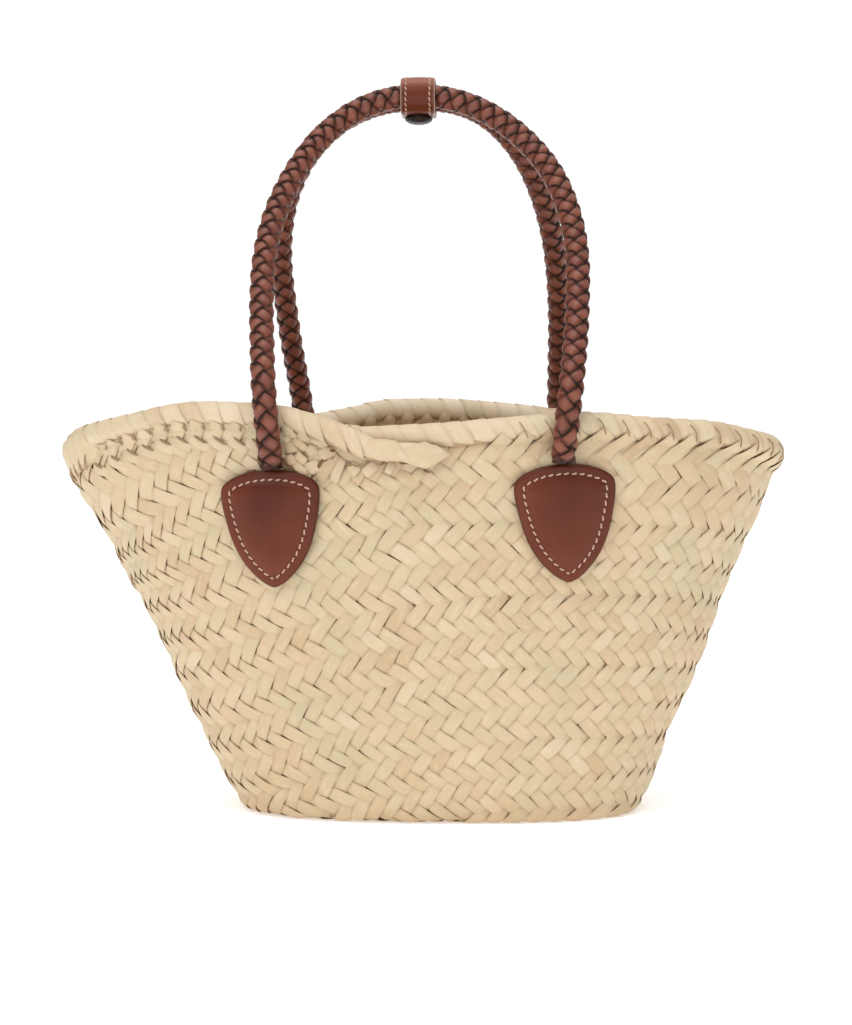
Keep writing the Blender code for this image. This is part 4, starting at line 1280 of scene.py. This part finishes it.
# Shares along a stitch, and angles round it
STITCH_ALONG = np.linspace(-1, 1, 7)
STITCH_ROUND = np.arange(6) * math.tau / 6


def stitch_section(slant, half_width, top, sink, half_height):
    """A stitch's points across its line and above its leather, with its ends slanted and sunk."""
    t = STITCH_ALONG[:, None]
    taper = np.sqrt(np.maximum(1 - np.abs(t) ** 4 * 0.9, 0.05))
    across = slant * t + np.cos(STITCH_ROUND) * half_width * taper
    return across, top - sink * t**4 + np.sin(STITCH_ROUND) * half_height * taper


def patch_frame(side):
    """Height of a shield's top, its tilt, and where its middle lies in x."""
    top = PATCH_LEFT_TOP if side < 0 else PATCH_RIGHT_TOP
    tilt = math.radians(PATCH_LEFT_TILT if side < 0 else PATCH_RIGHT_TILT)
    return top, tilt, MOUTH_SHIFT + HANDLE_SHIFT + side * HANDLE_FOOT_SPAN / 2


def on_patch(flat, height, side, facing):
    """Points laid on the wall from across and down on a shield, and height off its back."""
    top, tilt, centre_x = patch_frame(side)
    across = flat[..., 0]
    down = flat[..., 1] - SHIELD_MIDDLE * PATCH_HEIGHT
    x = centre_x + across * math.cos(tilt) + down * math.sin(tilt)
    z = top - SHIELD_MIDDLE * PATCH_HEIGHT - down * math.cos(tilt) + across * math.sin(tilt)
    return face_point(x, z, facing, ROW_RELIEF + CLEARANCE + height)


def leather_patch(name, side, facing, material, thread):
    """A padded shield with a rounded edge, a sewn channel and a domed face, and its stitches."""
    outline, outward = shield_outline(140)
    layers = [(outline - outward * inset / 1000, height, dark)
              for inset, height, dark in SHIELD_LAYERS]
    inner = layers[-1][0]
    centre = np.array([0.0, 0.40 * PATCH_HEIGHT])
    layers += [(inner + (centre - inner) * share, height, 0.0) for share, height in SHIELD_DOME]
    flat, height, edge = (np.array(column) for column in zip(*layers))
    points = on_patch(flat, height[:, None] / 1000, side, facing)
    grain = join(flat[..., 0], flat[..., 1], 0.3)
    across, down = flat[..., 0] / 0.025, flat[..., 1] / 0.034
    # painted light: paler towards the lower left and the sides, darker in the upper middle of the dome
    painted_light = 0.46 - 0.24 * across + 0.36 * (down - 0.76) + 0.22 * across ** 2
    painted_light = painted_light - 0.42 * np.exp(-((across + 0.12) / 0.50) ** 2 - ((down - 0.55) / 0.45) ** 2)
    leaf = join(np.clip(painted_light, 0.0, 1.0), edge[:, None], 0.0)
    strips = Strips()
    strips.add(points[None], grain[None], leaf[None])
    made = strips.piece(name.replace("patch", "shield"), material, "smooth_leather", (name,), 60)
    inset, step, half_length = 0.0046, 0.00385, 0.00146
    line = outline - outward * inset
    closed = np.concatenate([line, line[:1]])
    lengths = path_lengths(closed)
    count = round(lengths[-1] / step)
    starts = (np.arange(count)[:, None] + 0.25) * lengths[-1] / count
    middle = np.mod(starts + half_length * STITCH_ALONG, lengths[-1])
    out = read_at(middle, lengths, np.concatenate([outward, outward[:1]]))[:, :, None]
    across, rise = stitch_section(0.00030, 0.00047, 0.00338, 0.00030, 0.00032)
    flat = read_at(middle, lengths, closed)[:, :, None] + out * across[..., None]
    grain = join(np.cos(STITCH_ROUND) * 0.0004, STITCH_ALONG[:, None] * 0.00135, 0.5)
    sewn = Strips()
    sewn.add(on_patch(flat, rise, side, facing), grain, 0.0)
    sewn.piece(name.replace("patch", "stitches"), thread, None)


def keeper_height(across):
    """Height of the handles' shared middle line, at a distance from their crown."""
    heights = []
    for span, roundness in ((FRONT_HANDLE_SPAN, FRONT_HANDLE_ROUNDNESS),
                            (REAR_HANDLE_SPAN, REAR_HANDLE_ROUNDNESS)):
        share = 1 - np.abs(2 * across / span) ** roundness
        heights.append(HANDLE_SHOULDER + (HANDLE_CROWN - HANDLE_SHOULDER) * share ** (1 / roundness))
    return (heights[0] + heights[1]) / 2


def keeper_ring(radius, count):
    """Evenly spaced points and outward directions round two half circles about the handles."""
    apart = HANDLE_DIAMETER / 2 + CLEARANCE
    straight = 2 * apart
    half = straight + math.pi * radius
    s = np.arange(count) * 2 * half / count
    along = np.mod(s, half)
    mirror = np.where(s < half, 1.0, -1.0)[:, None]
    angle = np.maximum(along - straight, 0.0) / radius
    ways = mirror * np.stack([-np.sin(angle), np.cos(angle)], axis=-1)
    middle = mirror * (apart - np.minimum(along, straight))[:, None]
    return ways * radius + middle * np.array([1.0, 0.0]), ways, 2 * half


# The keeper band's section from its edge to near its middle: distance from the edge and height in
# millimetres, and how pale it is there
KEEPER_EDGE = ((0.5, 0.0, 0.4), (0.1, 0.3, 0.9), (0.0, 0.9, 1.0), (0.0, 1.6, 1.0), (0.15, 2.1, 0.7),
               (0.6, 2.4, 0.15), (1.4, 2.46, 0.0), (2.4, 2.40, 0.0), (2.9, 2.32, 0.0),
               (3.4, 2.42, 0.0), (4.6, 2.50, 0.0))


def keeper(material, thread):
    """The leather band that holds the handles together, with two sewn lines."""
    centre_x = MOUTH_SHIFT + HANDLE_SHIFT + CROWN_SWAY
    inner = HANDLE_DIAMETER / 2 + KEEPER_EASE
    half = KEEPER_WIDTH / 2 * 1000
    outline = [(x - half, height, pale) for x, height, pale in KEEPER_EDGE] + [(0.0, 2.55, 0.0)]
    outline = outline + [(-x, height, pale) for x, height, pale in outline[-2::-1]]
    x, height, pale = np.transpose(outline)
    x = x / 1000
    ring, ways, _ = keeper_ring(inner, 96)
    flat = ring[:, None] + ways[:, None] * height[:, None] / 1000
    points = join(centre_x + x, flat[..., 0], keeper_height(x) + flat[..., 1])[None]
    flat_edge = smooth_step(0.55, 1.0, np.abs(x) / (KEEPER_WIDTH / 2))
    # painted highlight: the band's tone rises towards its top
    lit = 0.40 + 1.30 * smooth_step(0.2, 1.1, flat[..., 1] / inner)
    strips = Strips()
    strips.add(points, points, join(lit, 0.15 * flat_edge * (1 - pale), pale * 0.95), loop=True)
    strips.piece("keeper_leather", material, "smooth_leather", ("keeper_band",), 60)
    offset, step, half_length = 0.0062, 0.0030, 0.00125
    ring, ways, total = keeper_ring(inner + KEEPER_LEATHER, 480)
    lengths = np.arange(481) * total / 480
    count = round(total / step)
    middle = (np.arange(count)[:, None] + 0.5) * total / count + half_length * STITCH_ALONG
    middle = np.mod(middle, total)
    flat, way = (read_at(middle, lengths, np.concatenate([values, values[:1]]))[:, :, None]
                 for values in (ring, ways))
    across, rise = stitch_section(0.00034, 0.00040, 0.00008, 0.00028, 0.0003)
    flat = flat + way * rise[..., None]
    grain = join(np.cos(STITCH_ROUND) * 0.0004, STITCH_ALONG[:, None] * 0.00125, 0.5)
    sewn = Strips()
    for side in (-1, 1):
        x = side * offset + across
        points = join(centre_x + x, flat[..., 0], keeper_height(x) + flat[..., 1])
        sewn.add(points, grain, 0.0)
    sewn.piece("stitches_keeper", thread, None)


def studio():
    """A pale floor, an even white surround and four broad soft lights."""
    size = 6.0
    mesh = bpy.data.meshes.new("floor")
    mesh.from_pydata([(-size, -size, 0), (size, -size, 0), (size, size, 0), (-size, size, 0)], [],
                     [(0, 1, 2, 3)])
    mesh.materials.append(floor_material())
    floor = bpy.data.objects.new("floor", mesh)
    bpy.context.scene.collection.objects.link(floor)
    world = bpy.data.worlds.new("studio")
    tree = Nodes(world)
    rise = tree.split(tree.node("TexCoord", "Generated"))[2]
    glow = tree.nodes["Background"]
    tree.put(glow.inputs["Color"], WHITE)
    tree.put(glow.inputs["Strength"], tree.span(rise, -0.1, 0.75, 0.22, 0.52))
    bright = tree.node("Background", 0, {"Color": WHITE, "Strength": 1.05})
    seen = tree.node("LightPath", "Is Camera Ray")
    mixed = tree.node("MixShader", 0, {0: seen, 1: glow.outputs[0], 2: bright})
    tree.put(tree.nodes["World Output"].inputs["Surface"], mixed)
    bpy.context.scene.world = world
    for name, strength, spread, tilt in (("key", 0.86, 40.0, (55.0, 0.0, -30.0)),
                                         ("fill", 0.34, 60.0, (70.0, 0.0, 24.0)),
                                         ("back", 0.40, 60.0, (52.0, 0.0, 172.0)),
                                         ("top", 1.40, 50.0, (9.0, 0.0, 0.0))):
        lamp = bpy.data.lights.new(name, "SUN")
        lamp.energy = strength
        lamp.angle = math.radians(spread)
        placed = bpy.data.objects.new(name, lamp)
        placed.rotation_euler = tuple(math.radians(a) for a in tilt)
        bpy.context.scene.collection.objects.link(placed)
    bpy.context.scene.view_settings.view_transform = "Standard"


def camera():
    """The photograph's view: 1.15 m off, 2.4 degrees to the right and 2.44 degrees down."""
    distance = 1.15
    right_by = math.radians(2.4)
    down_by = math.radians(2.44)
    made = bpy.data.cameras.new("camera")
    # The focal length is known in points of the photograph, by its height in points
    sensor, focal_points, height_points = 36.0, 2170, 1025
    made.sensor_width = sensor
    made.lens = sensor * focal_points / height_points
    placed = bpy.data.objects.new("camera", made)
    placed.location = (-0.008 + distance * math.sin(right_by), -distance * math.cos(right_by), 0.205)
    placed.rotation_euler = (math.pi / 2 - down_by, 0.0, right_by)
    bpy.context.scene.collection.objects.link(placed)
    bpy.context.scene.camera = placed


def main():
    """Every piece in turn, and the snap's cap in its own metal."""
    camera()
    woven_basket()
    rim_wraps()
    hem()
    leather = leather_material()
    thread = thread_material()
    braid = braid_material()
    for facing, where in ((-1, "front"), (1, "rear")):
        braided_handle(f"braid_{where}", facing, braid)
        for side, which in ((-1, "left"), (1, "right")):
            leather_patch(f"patch_{where}_{which}", side, facing, leather, thread)
    keeper(leather, thread)
    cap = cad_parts["snap_cap"]
    cap.data.materials.clear()
    cap.data.materials.append(metal_material())
    studio()


main()
bpy.context.view_layer.update()
